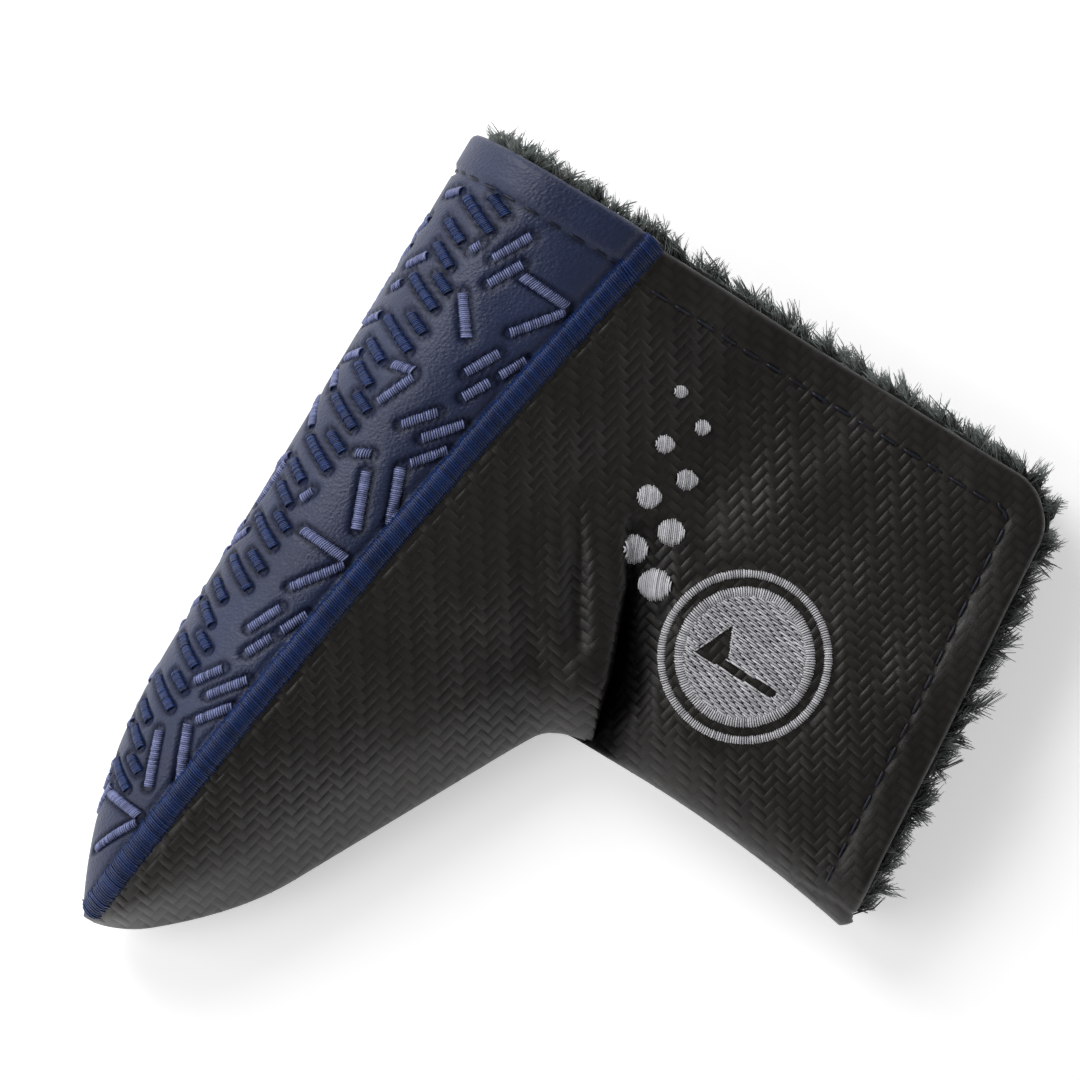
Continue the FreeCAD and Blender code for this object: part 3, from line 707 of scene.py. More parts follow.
class Finish:
    """A principled material whose colour, roughness and relief come from nodes."""

    def __init__(self, name, specular=0.5, sheen=0.0):
        self.material = bpy.data.materials.new(name)
        self.material.use_nodes = True
        self.tree = self.material.node_tree
        self.shader = self.tree.nodes["Principled BSDF"]
        self.shader.inputs["Specular IOR Level"].default_value = specular
        self.shader.inputs["Sheen Weight"].default_value = sheen
        self.shader.inputs["Sheen Roughness"].default_value = 0.4

    def node(self, kind, **inputs):
        node = self.tree.nodes.new("ShaderNode" + kind)
        for name, value in inputs.items():
            node.inputs[name].default_value = value
        return node

    def plan(self):
        """The place on the cut leather, in millimetres."""
        node = self.node("UVMap")
        node.uv_map = "plan"
        return node.outputs[0]

    def position(self):
        """The place in the row frame, in millimetres."""
        scale = self.node("VectorMath")
        scale.operation = "SCALE"
        scale.inputs["Scale"].default_value = 1.0 / MM
        self.tree.links.new(self.node("TexCoord").outputs["Object"], scale.inputs[0])
        return scale.outputs[0]

    def noise(self, vector, scale, detail=3.0, roughness=0.5):
        node = self.node("TexNoise", Scale=scale, Detail=detail, Roughness=roughness)
        self.tree.links.new(vector, node.inputs["Vector"])
        return Field(self.tree, node.outputs["Fac"])

    def cells(self, vector, scale):
        node = self.node("TexVoronoi", Scale=scale)
        self.tree.links.new(vector, node.inputs["Vector"])
        return Field(self.tree, node.outputs["Distance"])

    def value(self, label):
        node = self.node("Attribute")
        node.attribute_name = label
        return Field(self.tree, node.outputs["Fac"])

    def axis(self, vector, turn, pitch):
        """Distance along a turned axis, counted in pitches."""
        node = self.node("VectorMath")
        node.operation = "DOT_PRODUCT"
        self.tree.links.new(vector, node.inputs[0])
        bearing = math.radians(turn)
        node.inputs[1].default_value = (math.cos(bearing) / pitch, math.sin(bearing) / pitch, 0.0)
        return Field(self.tree, node.outputs["Value"])

    def colour(self, factor, stops):
        ramp = self.node("ValToRGB")
        elements = ramp.color_ramp.elements
        while len(elements) < len(stops):
            elements.new(0.5)
        for element, (place, tint) in zip(elements, stops):
            element.position = place
            element.color = (*tint, 1.0)
        self.tree.links.new(factor.socket, ramp.inputs[0])
        self.tree.links.new(ramp.outputs[0], self.shader.inputs["Base Color"])

    def roughness(self, factor, low, high):
        spread = factor.math("MULTIPLY_ADD", high - low, low)
        self.tree.links.new(spread.socket, self.shader.inputs["Roughness"])

    def relief(self, height, distance, strength=1.0):
        """Bump from a height between 0 and 1 that stands for a distance in millimetres."""
        bump = self.node("Bump", Strength=strength, Distance=distance * MM)
        self.tree.links.new(height.socket, bump.inputs["Height"])
        self.tree.links.new(bump.outputs[0], self.shader.inputs["Normal"])


WEAVE_PITCH = 1.55
WEAVE_TURN = -12.0


def woven_leather():
    """Black coated leather embossed with a two-up two-down twill of broad tows."""
    finish = Finish("woven_leather")
    plan = finish.plan()
    u = finish.axis(plan, WEAVE_TURN, WEAVE_PITCH)
    v = finish.axis(plan, WEAVE_TURN + 90.0, WEAVE_PITCH)
    column, row = u.math("FLOOR"), v.math("FLOOR")
    over = (column - row).math("FLOORED_MODULO", 4.0).math("LESS_THAN", 1.5)

    def tow(across, along, strip, shift, tilt):
        middle = (across.math("FRACT") - 0.5).math("ABSOLUTE") * 2.0
        travel = (along - strip - shift).math("FLOORED_MODULO", 4.0) - 1.0
        arch = travel.math("MULTIPLY", travel) * -0.62 + 1.0
        crown = middle.math("POWER", 2.2) * -0.8 + 1.0
        return arch * crown + travel * tilt

    warp = tow(u, v, column, -1.0, 0.12)
    weft = tow(v, u, row, 2.0, 0.12) * 0.62
    height = warp * over + weft * (over * -1.0 + 1.0)
    fine = finish.noise(plan, 3.0, 4.0, 0.65)
    worn = finish.noise(plan, 0.035, 3.0, 0.6)
    strength = finish.noise(plan, 0.06, 2.0).math("MULTIPLY_ADD", 2.4, -0.5)
    pressed = height * (finish.value("flattened") * -0.7 + 1.0) * strength
    finish.relief(pressed + fine * 0.15, 0.4, 0.9)
    # Painted shade in the creases: the colour darkens and the gloss drops where the folds lie deep.
    deep = finish.value("painted_crease_shade")
    # The weave height paints shade too: darker colour in the gaps between the tows, lighter on their crowns.
    shade = height * 0.5 + worn * 0.4 + fine * 0.15 - deep * 0.6
    finish.colour(shade, ((0.0, srgb(3, 3, 3)), (0.25, srgb(12, 11, 10)), (0.8, srgb(34, 31, 27))))
    gloss = deep.math("MULTIPLY_ADD", -0.33, 0.35)
    finish.tree.links.new(gloss.socket, finish.shader.inputs["Specular IOR Level"])
    finish.roughness(fine * 0.4 + worn * 0.6, 0.36, 0.5)
    return finish.material


def smooth_leather():
    """Blue coated leather with a fine pebbled grain and a soft broad sheen."""
    finish = Finish("smooth_leather", specular=0.4)
    plan = finish.plan()
    folded = finish.noise(plan, 0.5)
    grain = finish.cells(plan, 1.6)
    small = finish.noise(plan, 1.7, 3.0, 0.6)
    worn = finish.noise(plan, 0.03, 3.0, 0.6)
    finish.relief(grain * 0.5 + small * 0.8 + folded * 0.15, 0.2, 0.8)
    # Painted shade: the blue darkens and loses gloss in a thin outline round each stroke.
    stroke_shade = finish.value("painted_stroke_shade")
    shade = worn * 0.6 + small * 0.25 + grain * 0.15 - stroke_shade * 0.4
    finish.colour(shade, ((0.0, srgb(7, 10, 22)), (0.25, srgb(19, 26, 50)), (0.75, srgb(34, 45, 77))))
    gloss = stroke_shade.math("MULTIPLY_ADD", -0.3, 0.4)
    finish.tree.links.new(gloss.socket, finish.shader.inputs["Specular IOR Level"])
    finish.roughness(small * 0.5 + worn * 0.5, 0.36, 0.54)
    return finish.material


def thread(name, dark, light, gloss=0.4):
    """Shiny embroidery thread, a little uneven in shade from stitch to stitch."""
    finish = Finish(name, specular=0.33, sheen=0.04)
    place = finish.position()
    strands = finish.noise(place, 2.2, 2.0, 0.6)
    fibres = finish.noise(place, 9.0, 3.0, 0.7)
    shade = finish.value("thread") * 0.3 + strands * 0.4 + fibres * 0.3
    finish.colour(shade, ((0.2, dark), (0.8, light)))
    finish.roughness(fibres, gloss - 0.08, gloss + 0.12)
    finish.relief(fibres, 0.07, 0.6)
    return finish.material


def pile():
    """Fleece fibre, dark at its root and paler toward its tip."""
    finish = Finish("fleece", specular=0.3, sheen=0.3)
    place = finish.position()
    tufts = finish.noise(place, 0.35, 3.0, 0.6)
    shade = finish.value("tip") * 0.62 + tufts * 0.38
    finish.colour(shade, ((0.2, srgb(7, 8, 8)), (0.52, srgb(32, 36, 35)), (0.9, srgb(112, 121, 117))))
    finish.roughness(tufts, 0.5, 0.7)
    return finish.material


def cloth(name, dark, light, scale, depth):
    """A dull knitted, woven or foamed surface."""
    finish = Finish(name, specular=0.2, sheen=0.2)
    place = finish.position()
    cells = finish.cells(place, scale)
    mottle = finish.noise(place, scale * 0.4)
    shade = cells * 0.6 + mottle * 0.4
    finish.colour(shade, ((0.15, dark), (0.75, light)))
    finish.roughness(mottle, 0.8, 0.95)
    finish.relief(cells, depth, 0.8)
    return finish.material


BLACK = woven_leather()
BLUE = smooth_leather()
NAVY_THREAD = thread("navy_thread", srgb(1, 9, 32), srgb(13, 46, 104), 0.38)
LIGHT_THREAD = thread("light_thread", srgb(46, 51, 84), srgb(128, 137, 182))
SILVER_THREAD = thread("silver_thread", srgb(128, 128, 134), srgb(222, 222, 226))
HEM_THREAD = thread("hem_thread", srgb(6, 8, 18), srgb(22, 27, 46))
PILE = pile()
BACKING = cloth("fleece_backing", srgb(8, 10, 10), srgb(30, 34, 34), 1.1, 0.5)
PADDING = cloth("padding_foam", srgb(22, 22, 24), srgb(52, 52, 55), 1.6, 0.35)
TAPE = cloth("closure_tape", srgb(10, 10, 12), srgb(34, 34, 37), 2.2, 0.2)


# ------------------------------------------------------------ leather and padding

SPACING = 0.6


def spread(span, rim, steps, rim_steps):
    """Distances from 0 to span: close together over the round rim, then even."""
    turn = np.linspace(0.0, math.pi / 2, rim_steps, endpoint=False)
    part = np.linspace(0.0, 1.0, steps)
    rim = np.minimum(rim, 0.7 * span)[..., None]
    span = span[..., None]
    return np.concatenate([rim * (1.0 - np.cos(turn)), rim + (span - rim) * part], -1)


def side_grids(inset=0.0, shift=0.0, spacing=SPACING):
    """Grids over one side of the cover: the toe side of the notch, and the heel side.

    inset moves the closed edges in, and shift moves the open edges out."""
    blade, neck = inset_edge(inset)
    turn = neck[0]
    toe = TOE + 0.05 + 1.2 * inset
    columns = toe + (turn[0] - toe) * np.linspace(0.0, 1.0, int(72 / spacing)) ** 1.35
    columns[-1] = turn[0]
    low = np.interp(columns, blade[:, 0], blade[:, 1])
    low[-1] = turn[1]
    high = border_line(columns)
    low = np.minimum(low, high - 0.5)
    rim = np.maximum(EDGE_ROUND * fullness(columns) + 0.3 - inset, 0.5)
    heights = low[:, None] + spread(high - low, rim, int(34 / spacing), int(17 / spacing))
    toe_side = (np.repeat(columns[:, None], heights.shape[1], 1).T, heights.T)

    left_y = np.linspace(mouth_line(neck_side(-61.0)) - shift, turn[1], int(62 / spacing))[:-1]
    order = np.argsort(neck[:, 1])
    left_x = np.interp(left_y, neck[order, 1], neck[order, 0])
    left_y = np.concatenate([left_y, heights[-1]])
    left_x = np.concatenate([left_x, np.full(heights.shape[1], turn[0])])
    bottom, top = mouth_line(left_x) - shift, border_line(left_x)
    share = np.clip((left_y - bottom) / (top - bottom), 0.0, 1.0)[:, None]
    right = heel_line(share * 85.0 - 54.0) + shift
    across = spread(np.full(len(left_x), 82.0), np.full(len(left_x), EDGE_ROUND - inset),
                    int(70 / spacing), int(17 / spacing)) / 82.0
    x = left_x[:, None] + (right - left_x[:, None]) * across
    bottom, top = mouth_line(x) - shift, border_line(x)
    y = bottom + (top - bottom) * share
    y[:, 0] = left_y
    heelward = heel_line(y) + shift - x
    neckward = y - bottom
    a, b = np.maximum(CORNER - heelward, 0.0), np.maximum(CORNER - neckward, 0.0)
    inward = 1.0 - np.maximum(a, b) / np.maximum(np.hypot(a, b), 1e-9)
    inward = np.where((a > 0) & (b > 0), inward, 0.0)
    return [toe_side, (x - a * inward, y + b * inward)]


def sole_grids(start, shift=0.0, spacing=SPACING):
    end = HEEL + shift
    part = np.linspace(0.0, 1.0, int(160 / spacing))
    columns = start + (end - start) * (0.72 * part + 0.28 * part ** 2.6)
    _, _, whole = sole_span(columns)
    share = np.linspace(0.0, 1.0, int(66 / spacing))[:, None]
    x = np.repeat(columns[None], len(share), 0)
    return [(x, share * whole)]


def at_open_edge(x, y):
    """1 on the edges at the heel and the neck opening, and 0 on the sewn edges."""
    return (hem_distance(x, y) < 0.4).astype(float)


def at_heel(x, s):
    """1 on the open edge of the sole leather, and 0 elsewhere."""
    return (x > HEEL - 0.4).astype(float)


def turned_in(x, y):
    """Thickness of the leather, doubled where its edge is turned under."""
    return LEATHER + TURNED_EDGE * (1.0 - rise(hem_distance(x, y), 4.6, 5.8))


def turned_in_sole(x, s):
    """The same for the sole leather, whose open edge is straight."""
    return LEATHER + TURNED_EDGE * (1.0 - rise(SOLE_HEM - x, 4.6, 5.8))


def flattened(x, y):
    """How far the embossing is pressed flat: 1 on the turned hem, and 0 past its stitches."""
    return 1.0 - rise(hem_distance(x, y), 4.5, 6.5)


FOLD_LINE = Vector(hinge["axis"]).normalized()
TOWARD_FLAP = Vector((-FOLD_LINE.y, FOLD_LINE.x, 0.0))
if TOWARD_FLAP.x < 0:
    TOWARD_FLAP = -TOWARD_FLAP


def moves(piece, body):
    """Tie a piece to a body, or apply its transform to its mesh where it runs from the cover into the flap.
    """
    if body == "bend":
        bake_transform(piece)
    else:
        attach(piece, body)


def finished(piece, body, *nodes):
    """Settle what a piece moves with, and hide the CAD nodes that it stands for."""
    moves(piece, body)
    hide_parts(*nodes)


def leather():
    edge = side_grids()
    inner = side_grids(LEATHER)
    hem = (("flattened", flattened),)
    # The fold value on the front leather paints shade into its creases.
    front = slab("front_skin", FRONT, (edge, 0.0), (inner, turned_in), BLACK, at_open_edge,
                 hem + (("painted_crease_shade", painted_crease_shade),))
    finished(front, "bend", "front_panel", "flap_panel")
    rear = slab("rear_skin", REAR, (edge, 0.0), (inner, turned_in), BLACK, at_open_edge, hem)
    finished(rear, "cover", "rear_panel")
    start = TOE + 0.1
    # The value on the sole leather paints shade round each stroke.
    sole = slab("sole_skin", SOLE_FACE, (sole_grids(start), 0.0), (sole_grids(start), turned_in_sole),
                BLUE, at_heel, (("painted_stroke_shade", painted_stroke_shade),))
    finished(sole, "cover", "sole_panel")


def layers():
    """Foam and fleece backing under each leather, coarser because little of them shows."""
    for kind, outer, thick, back, material in (
        ("foam", LEATHER + 0.1, FOAM - 0.3, -2.0 - HEM, PADDING),
        ("lining", LEATHER + FOAM, FLEECE_BACKING, 0.8, BACKING),
    ):
        lip = at_open_edge if kind == "lining" else None
        near = side_grids(outer, back, 1.5)
        far = side_grids(outer + thick, back, 1.5)
        for side, surface, nodes in (
            ("front", FRONT, (f"front_{kind}", f"flap_{kind}")), ("rear", REAR, (f"rear_{kind}",)),
        ):
            piece = slab(f"{side}_{kind}_layer", surface, (near, outer), (far, outer + thick), material, lip)
            finished(piece, "bend" if side == "front" else "cover", *nodes)
            kind == "foam"
        start = TOE + 9.0 + 2.2 * outer
        grids = sole_grids(start, back, 1.5)
        plain = Surface(sole_point)
        piece = slab(f"sole_{kind}_layer", plain, (grids, outer), (grids, outer + thick), material)
        finished(piece, "cover", f"sole_{kind}")
        kind == "foam"


# ------------------------------------------------------------ thread

def satin(surface, centres, directions, halves, dome, seed, radius=THREAD, points=7):
    """Parallel threads over a face: where each is centred, which way it runs and half its length."""
    draw = np.random.default_rng(seed)
    count = len(centres)
    part = np.linspace(-1.0, 1.0, points)
    reach = halves[:, None] * part * (1.0 + draw.uniform(-0.08, 0.08, (count, 1)))
    u = centres[:, 0, None] + directions[:, 0, None] * reach
    v = centres[:, 1, None] + directions[:, 1, None] * reach
    lift = dome * (1.0 - np.abs(part) ** 2.4) - 0.12 * np.abs(part) ** 8
    lift = lift + draw.uniform(-0.06, 0.06, (count, 1))
    place, normal = surface.place(u, v, lift)
    size = radius * (1.0 - 0.35 * np.abs(part) ** 6) * draw.uniform(0.9, 1.12, (count, 1))
    return place, size, normal


def along_path(path, pitch, start=0.5):
    """Even places along a polyline, and the direction there."""
    steps = np.diff(path, axis=0)
    lengths = np.linalg.norm(steps, axis=1)
    before = np.concatenate([[0.0], np.cumsum(lengths)])
    count = max(int(before[-1] / pitch), 1)
    place = (np.arange(count) + start) * before[-1] / count
    points = np.stack([np.interp(place, before, path[:, axis]) for axis in (0, 1)], 1)
    piece = np.clip(np.searchsorted(before, place) - 1, 0, len(steps) - 1)
    return points, steps[piece] / lengths[piece, None]


def turned_axes(degrees):
    """Unit vectors along a direction in the plan and across it."""
    turn = math.radians(degrees)
    along = np.array([math.cos(turn), math.sin(turn)])
    return along, np.array([-along[1], along[0]])


def sideways(directions, slant=0.0):
    turned = np.stack([-directions[:, 1], directions[:, 0]], 1) + slant * directions
    return turned / np.linalg.norm(turned, axis=1, keepdims=True)


def borders():
    x = np.linspace(TOE + 1.6, 76.2, 120)
    path = np.stack([x, border_line(x)], 1)
    centres, directions = along_path(path, THREAD_PITCH)
    halves = np.minimum(BORDER_HALF, 0.35 + 0.9 * (centres[:, 0] - TOE))
    across = sideways(directions, 0.12)
    for name, surface, seed in (("front_border_satin", FRONT, 11), ("rear_border_satin", REAR, 12)):
        strands = [satin(surface, centres, across, halves, 0.75, seed)]
        strands.append(satin(surface, centres + 0.19 * directions, across, halves * 0.97, 0.5, seed + 5))
        piece = thread_piece(name, strands, NAVY_THREAD)
        finished(piece, "cover", name.replace("_satin", ""))


def stroke_threads(surface, strokes, seed):
    """Satin over straight strokes, each thread lying across its stroke."""
    centres, across, halves = [], [], []
    for x1, y1, x2, y2 in strokes:
        points, directions = along_path(np.array([[x1, y1], [x2, y2]]), 0.39)
        centres.append(points)
        across.append(sideways(directions, 0.15))
        halves.append(np.full(len(points), STROKE / 2))
    return satin(surface, np.concatenate(centres), np.concatenate(across), np.concatenate(halves), 0.62, seed)


def sole_embroidery():
    for name, strokes, material, node, seed in (
        ("light_strokes", light_strokes, LIGHT_THREAD, "light_embroidery", 21),
        ("navy_strokes", navy_strokes, NAVY_THREAD, "navy_embroidery", 22),
    ):
        piece = thread_piece(name, [stroke_threads(SOLE_FACE, strokes, seed)], material)
        finished(piece, "cover", node)


def circle_satin(centre, inner, outer, dome, seed):
    """Radial threads between two radii."""
    middle = (inner + outer) / 2
    count = int(2 * math.pi * middle / THREAD_PITCH)
    angle = np.arange(count) * 2 * math.pi / count
    outward = np.stack([np.cos(angle), np.sin(angle)], 1)
    return satin(FRONT, centre + outward * middle, outward, np.full(count, (outer - inner) / 2), dome, seed)


RING = (14.1, 15.5)      # radii of the satin ring
DISC_RIM = (10.5, 12.5)  # radii of the satin rim of the disc
FILL_ROUND = 11.0        # radius of the filled part, which runs a little under the rim
FILL_PITCH = 0.4
FILL_STITCH = 3.15       # length of one thread of the fill
FILL_SHIFT = 1.05        # how far each row of the fill is moved against the one before, over three rows
FILL_TURN = 86.0

# The outline of the pennant on its pole, about the middle of the badge.
PENNANT = np.array([[-3.75, -8.0], [-3.75, 8.0], [3.75, 4.75], [-2.25, 2.1], [-2.25, -8.0], [-3.75, -8.0]])


def in_flag(x, y):
    """Whether a place of the badge is inside its plain pennant, where no thread lies."""
    pole = (np.abs(x + 3.0) < 0.75) & (np.abs(y) < 8.0)
    share = (y - 1.5) / 6.5
    flag = (x > -3.75) & (x < -3.75 + 7.5 * (1.0 - np.abs(2 * share - 1.0))) & (share > 0) & (share < 1)
    return pole | flag


def badge():
    """The satin ring, and the disc filled with rows of short threads round the pennant."""
    ring = thread_piece("badge_ring_satin", [circle_satin(BADGE, *RING, 0.4, 31)], SILVER_THREAD)
    finished(ring, "bend", "badge_ring")
    strands = [circle_satin(BADGE, *DISC_RIM, 0.5, 32)]
    draw = np.random.default_rng(33)
    along, up = turned_axes(FILL_TURN)
    centres, halves = [], []
    for row in range(-27, 28):
        offset = row * FILL_PITCH
        reach = math.sqrt(max(FILL_ROUND ** 2 - offset ** 2, 0.0))
        t = np.arange(-reach, reach, 0.1)
        points = offset * up + t[:, None] * along
        free = ~in_flag(points[:, 0], points[:, 1])
        holes = np.floor((t + FILL_SHIFT * (row % 3) + 40.0) / FILL_STITCH)
        runs = np.flatnonzero(np.diff(np.concatenate([[-1], np.where(free, holes, -1), [-1]])))
        for first, last in zip(runs, runs[1:]):
            if free[first] and last - first > 3:
                centres.append(BADGE + (points[first] + points[last - 1]) / 2)
                halves.append(0.05 * (last - first))
    centres = np.array(centres)
    across = np.repeat(along[None], len(centres), 0) + draw.uniform(-0.02, 0.02, (len(centres), 2))
    strands.append(satin(FRONT, centres, across, np.array(halves), 0.36, 34, 0.21))
    points, directions = along_path(PENNANT + BADGE, 1.0)
    edge = sideways(directions) * 0.2 + points
    strands.append(satin(FRONT, edge, directions, np.full(len(edge), 0.6), 0.34, 35, 0.15, 4))
    fill = thread_piece("badge_disc_fill", strands, SILVER_THREAD)
    finished(fill, "bend", "badge_fill")


DOT_ROWS = 2
DOT_COLUMNS = 4
DOT_ROUND = 2.9          # radius of the first dot
DOT_SHRINK = 0.5         # how much smaller each next one is
DOT_START = np.array([24.5, -1.0])
DOT_STEP = np.array([9.4, 2.4])
DOT_ROW_STEP = np.array([3.4, 6.6])
DOT_TURN = 25.0


def dots():
    """Two slanting rows of satin dots that shrink toward the heel."""
    strands = []
    across, up = turned_axes(DOT_TURN)
    for row in range(DOT_ROWS):
        for column in range(DOT_COLUMNS):
            radius = DOT_ROUND - DOT_SHRINK * (column + row / 2)
            centre = DOT_START + DOT_STEP * column + DOT_ROW_STEP * row
            offset = np.arange(-radius + 0.15, radius, 0.34)
            centres = centre + offset[:, None] * up
            halves = np.sqrt(radius ** 2 - offset ** 2)
            strands.append(satin(FRONT, centres, np.repeat(across[None], len(offset), 0), halves,
                                 0.5, 41 + row * DOT_COLUMNS + column))
    finished(thread_piece("satin_dots", strands, SILVER_THREAD), "bend", "dot_embroidery")


def stitches(surface, path, seed, radius=0.3):
    """A row of separate plump stitches that dive into the leather at both ends."""
    centres, directions = along_path(path, STITCH_PITCH)
    halves = np.full(len(centres), STITCH_LENGTH / 2)
    return satin(surface, centres, directions, halves, 0.3, seed, radius, 9)


def opening_path(shift, sole_end, neck_end, points, turns):
    """Down the heel, round the corner and along the neck, moved outward from the open edge."""
    radius = CORNER + shift
    y = np.linspace(sole_end, mouth_line(73.0) + CORNER, points)
    heel = np.stack([heel_line(y) + shift, y], 1)
    turn = np.linspace(0.0, math.pi / 2, turns)[1:-1]
    centre = np.array([heel_line(y[-1]) + shift - radius, y[-1]])
    corner = centre + radius * np.stack([np.cos(turn), -np.sin(turn)], 1)
    x = np.linspace(centre[0], neck_end, points)
    neck = np.stack([x, mouth_line(x) - shift], 1)
    return np.concatenate([heel, corner, neck])


def hem_stitching():
    path = opening_path(-HEM, 27.0, -6.0, 30, 8)
    front = thread_piece("front_hem_stitches", [stitches(FRONT, path, 51)], HEM_THREAD)
    finished(front, "bend", "front_hem_stitching", "flap_hem_stitching")
    rear = thread_piece("rear_hem_stitches", [stitches(REAR, path, 52)], HEM_THREAD)
    finished(rear, "cover", "rear_hem_stitching")
    _, _, whole = sole_span(np.array(69.5))
    path = np.array([[69.4, 3.5], [69.4, float(whole) - 3.5]])
    sole = thread_piece("sole_hem_stitches", [stitches(SOLE_FACE, path, 53)], HEM_THREAD)
    finished(sole, "cover", "sole_hem_stitching")


def seam_stitching():
    """Short stitches over the closed seams, from the front leather to the rear leather."""
    blade = EDGE[(EDGE[:, 0] > -68.0) & (EDGE[:, 0] < -9.0) & (EDGE[:, 1] > 2.0)]
    neck = EDGE[(EDGE[:, 1] < -7.0) & (EDGE[:, 1] > -60.0)]
    for name, path, node in (
        ("blade_seam_stitches", blade, "blade_seam_thread"), ("neck_seam_stitches", neck, "neck_seam_thread"),
    ):
        centres, directions = along_path(path, STITCH_PITCH)
        outward = -sideways(directions)
        part = np.linspace(-1.0, 1.0, 7)
        height = SEAM + 1.2 * part
        out = -0.12 - 0.3 * np.abs(part) ** 3
        paths = np.zeros((len(centres), len(part), 3))
        paths[:, :, :2] = centres[:, None] + outward[:, None] * out[None, :, None]
        paths[:, :, 2] = height
        ups = np.zeros_like(paths)
        ups[:, :, :2] = outward[:, None]
        piece = thread_piece(name, [(paths, np.full(len(part), 0.22), ups)], HEM_THREAD)
        finished(piece, "cover", node)


# ------------------------------------------------------------ fleece

def tufts(roots, aims, length, seed, per_tuft, width, radius):
    """Tufts of fine curly fibres: each tuft leans and curls its own way and closes at its tip."""
    draw = np.random.default_rng(seed)
    count = len(roots) * per_tuft
    aims = aims / np.linalg.norm(aims, axis=1, keepdims=True)
    lean = aims + draw.normal(0.0, 0.17, aims.shape).clip(-0.34, 0.34)
    curl = np.cross(lean, draw.normal(0.0, 1.0, lean.shape))
    curl /= np.maximum(np.linalg.norm(curl, axis=1, keepdims=True), 1e-9)
    reach = length * draw.uniform(0.8, 1.12, len(roots))
    each = np.repeat(np.arange(len(roots)), per_tuft)
    off = draw.normal(0.0, width, (count, 3)).clip(-2.0 * width, 2.0 * width)
    own_lean = lean[each] + draw.normal(0.0, 0.06, (count, 3)).clip(-0.12, 0.12)
    own_curl = curl[each] + draw.normal(0.0, 0.2, (count, 3)).clip(-0.4, 0.4)
    own_reach = reach[each] * draw.uniform(0.7, 1.08, count)
    part = np.linspace(0.0, 1.0, 4)
    bend = np.sin(part * 3.6) * 0.22
    close = 1.0 - 0.82 * part ** 1.3
    paths = roots[each][:, None] + off[:, None] * close[:, None] \
        + own_lean[:, None] * (own_reach[:, None] * part)[..., None] \
        + own_curl[:, None] * (own_reach[:, None] * bend)[..., None]
    size = radius * np.array([1.0, 0.95, 0.7, 0.3]) * draw.uniform(0.75, 1.25, (count, 1))
    return paths, size, part


def fur_piece(name, roots, aims, length, seed, body, slot, per_tuft=13, width=0.6, radius=0.16):
    """A piece of pile over some roots, kept off the floor."""
    paths, size, part = tufts(roots, aims, length, seed, per_tuft, width, radius)
    paths[:, :, 2] = np.maximum(paths[:, :, 2], 0.25)
    vertices, quads = tube_mesh(paths, size, np.array([0.31, 0.17, 0.93]))
    tips = np.repeat(np.broadcast_to(part, paths.shape[:2]).ravel(), 4)
    piece = make_piece(name, vertices, quads, PILE, None, (("tip", tips),))
    moves(piece, body)


INSIDE = LEATHER + FOAM + FLEECE_BACKING
RIM_ROWS = 4
RIM_DEPTH = 4.0          # depth of the first row of tufts under the leather's face
RIM_STEP = 0.9           # depth from one row to the next
RIM_PITCH = 1.25
RIM_INSET = 1.6
RIM_LENGTH = 6.5
SOLE_RIM_LENGTH = 5.4
INNER_PITCH = 2.0
INNER_REACH = 46.0       # how far inside the open edges the pile goes on
INNER_LENGTH = 2.7


def scattered(low, high, draw):
    """Places on a grid of the inner pitch, each moved a little at random."""
    u, v = np.meshgrid(np.arange(low[0], high[0], INNER_PITCH), np.arange(low[1], high[1], INNER_PITCH))
    places = np.stack([u.ravel(), v.ravel()], 1)
    return (places + draw.uniform(-0.7, 0.7, places.shape)).T


def fleece():
    """Pile standing out past the turned hems, and over the inner faces near the openings."""
    draw = np.random.default_rng(60)
    inner = dict(per_tuft=5, width=0.75, radius=0.2)
    for side, surface, body, facing in (("front", FRONT, "bend", 1.0), ("rear", REAR, "cover", -1.0)):
        roots, aims = [], []
        for row in range(RIM_ROWS):
            centres, directions = along_path(opening_path(-RIM_INSET, 29.0, -8.8, 60, 12), RIM_PITCH)
            roots.append(surface.point(centres[:, 0], centres[:, 1], RIM_DEPTH + RIM_STEP * row))
            aim = sideways(directions) - draw.uniform(0.5, 1.2, (len(centres), 1)) * directions
            lift = facing * (draw.uniform(-0.35, 0.15, len(centres)) - 0.05 * row)
            aims.append(np.column_stack([aim, lift]))
        fur_piece(f"{side}_fleece_rim", np.concatenate(roots), np.concatenate(aims),
                  RIM_LENGTH, 61, body, f"{side}_lining")
        x, y = scattered((-8.0, -62.0), (75.0, 45.0), draw)
        gap, _, _ = path_distance(x, y, EDGE)
        hem = hem_distance(x, y)
        kept = (hem > 0.4) & (hem < INNER_REACH) & (gap > INSIDE + 1.5)
        kept &= (y < border_line(x)) & (x > neck_side(y))
        x, y = x[kept], y[kept]
        fur_piece(f"{side}_fleece_inside", surface.point(x, y, INSIDE), -surface.normals(x, y, INSIDE),
                  INNER_LENGTH, 62, body, f"{side}_lining", **inner)
    plain = Surface(sole_point)
    whole = float(sole_span(np.array(HEEL))[2]) - 0.5
    roots, aims = [], []
    for row in range(RIM_ROWS):
        s = np.arange(0.5, whole, RIM_PITCH)
        x = np.full(len(s), HEEL - RIM_INSET)
        roots.append(plain.point(x, s, RIM_DEPTH + RIM_STEP * row))
        aims.append(np.array([1.0, 0.0, 0.0]) + draw.normal(0.0, 0.25, (len(s), 3)))
    fur_piece("sole_fleece_rim", np.concatenate(roots), np.concatenate(aims),
              SOLE_RIM_LENGTH, 63, "cover", "sole_lining")
    x, s = scattered((HEEL - INNER_REACH, 0.5), (HEEL - 0.6, whole), draw)
    fur_piece("sole_fleece_inside", plain.point(x, s, INSIDE), -plain.normals(x, s, INSIDE),
              INNER_LENGTH, 64, "cover", "sole_lining", **inner)


# ------------------------------------------------------------ closure

BRISTLE_PITCH = 0.95


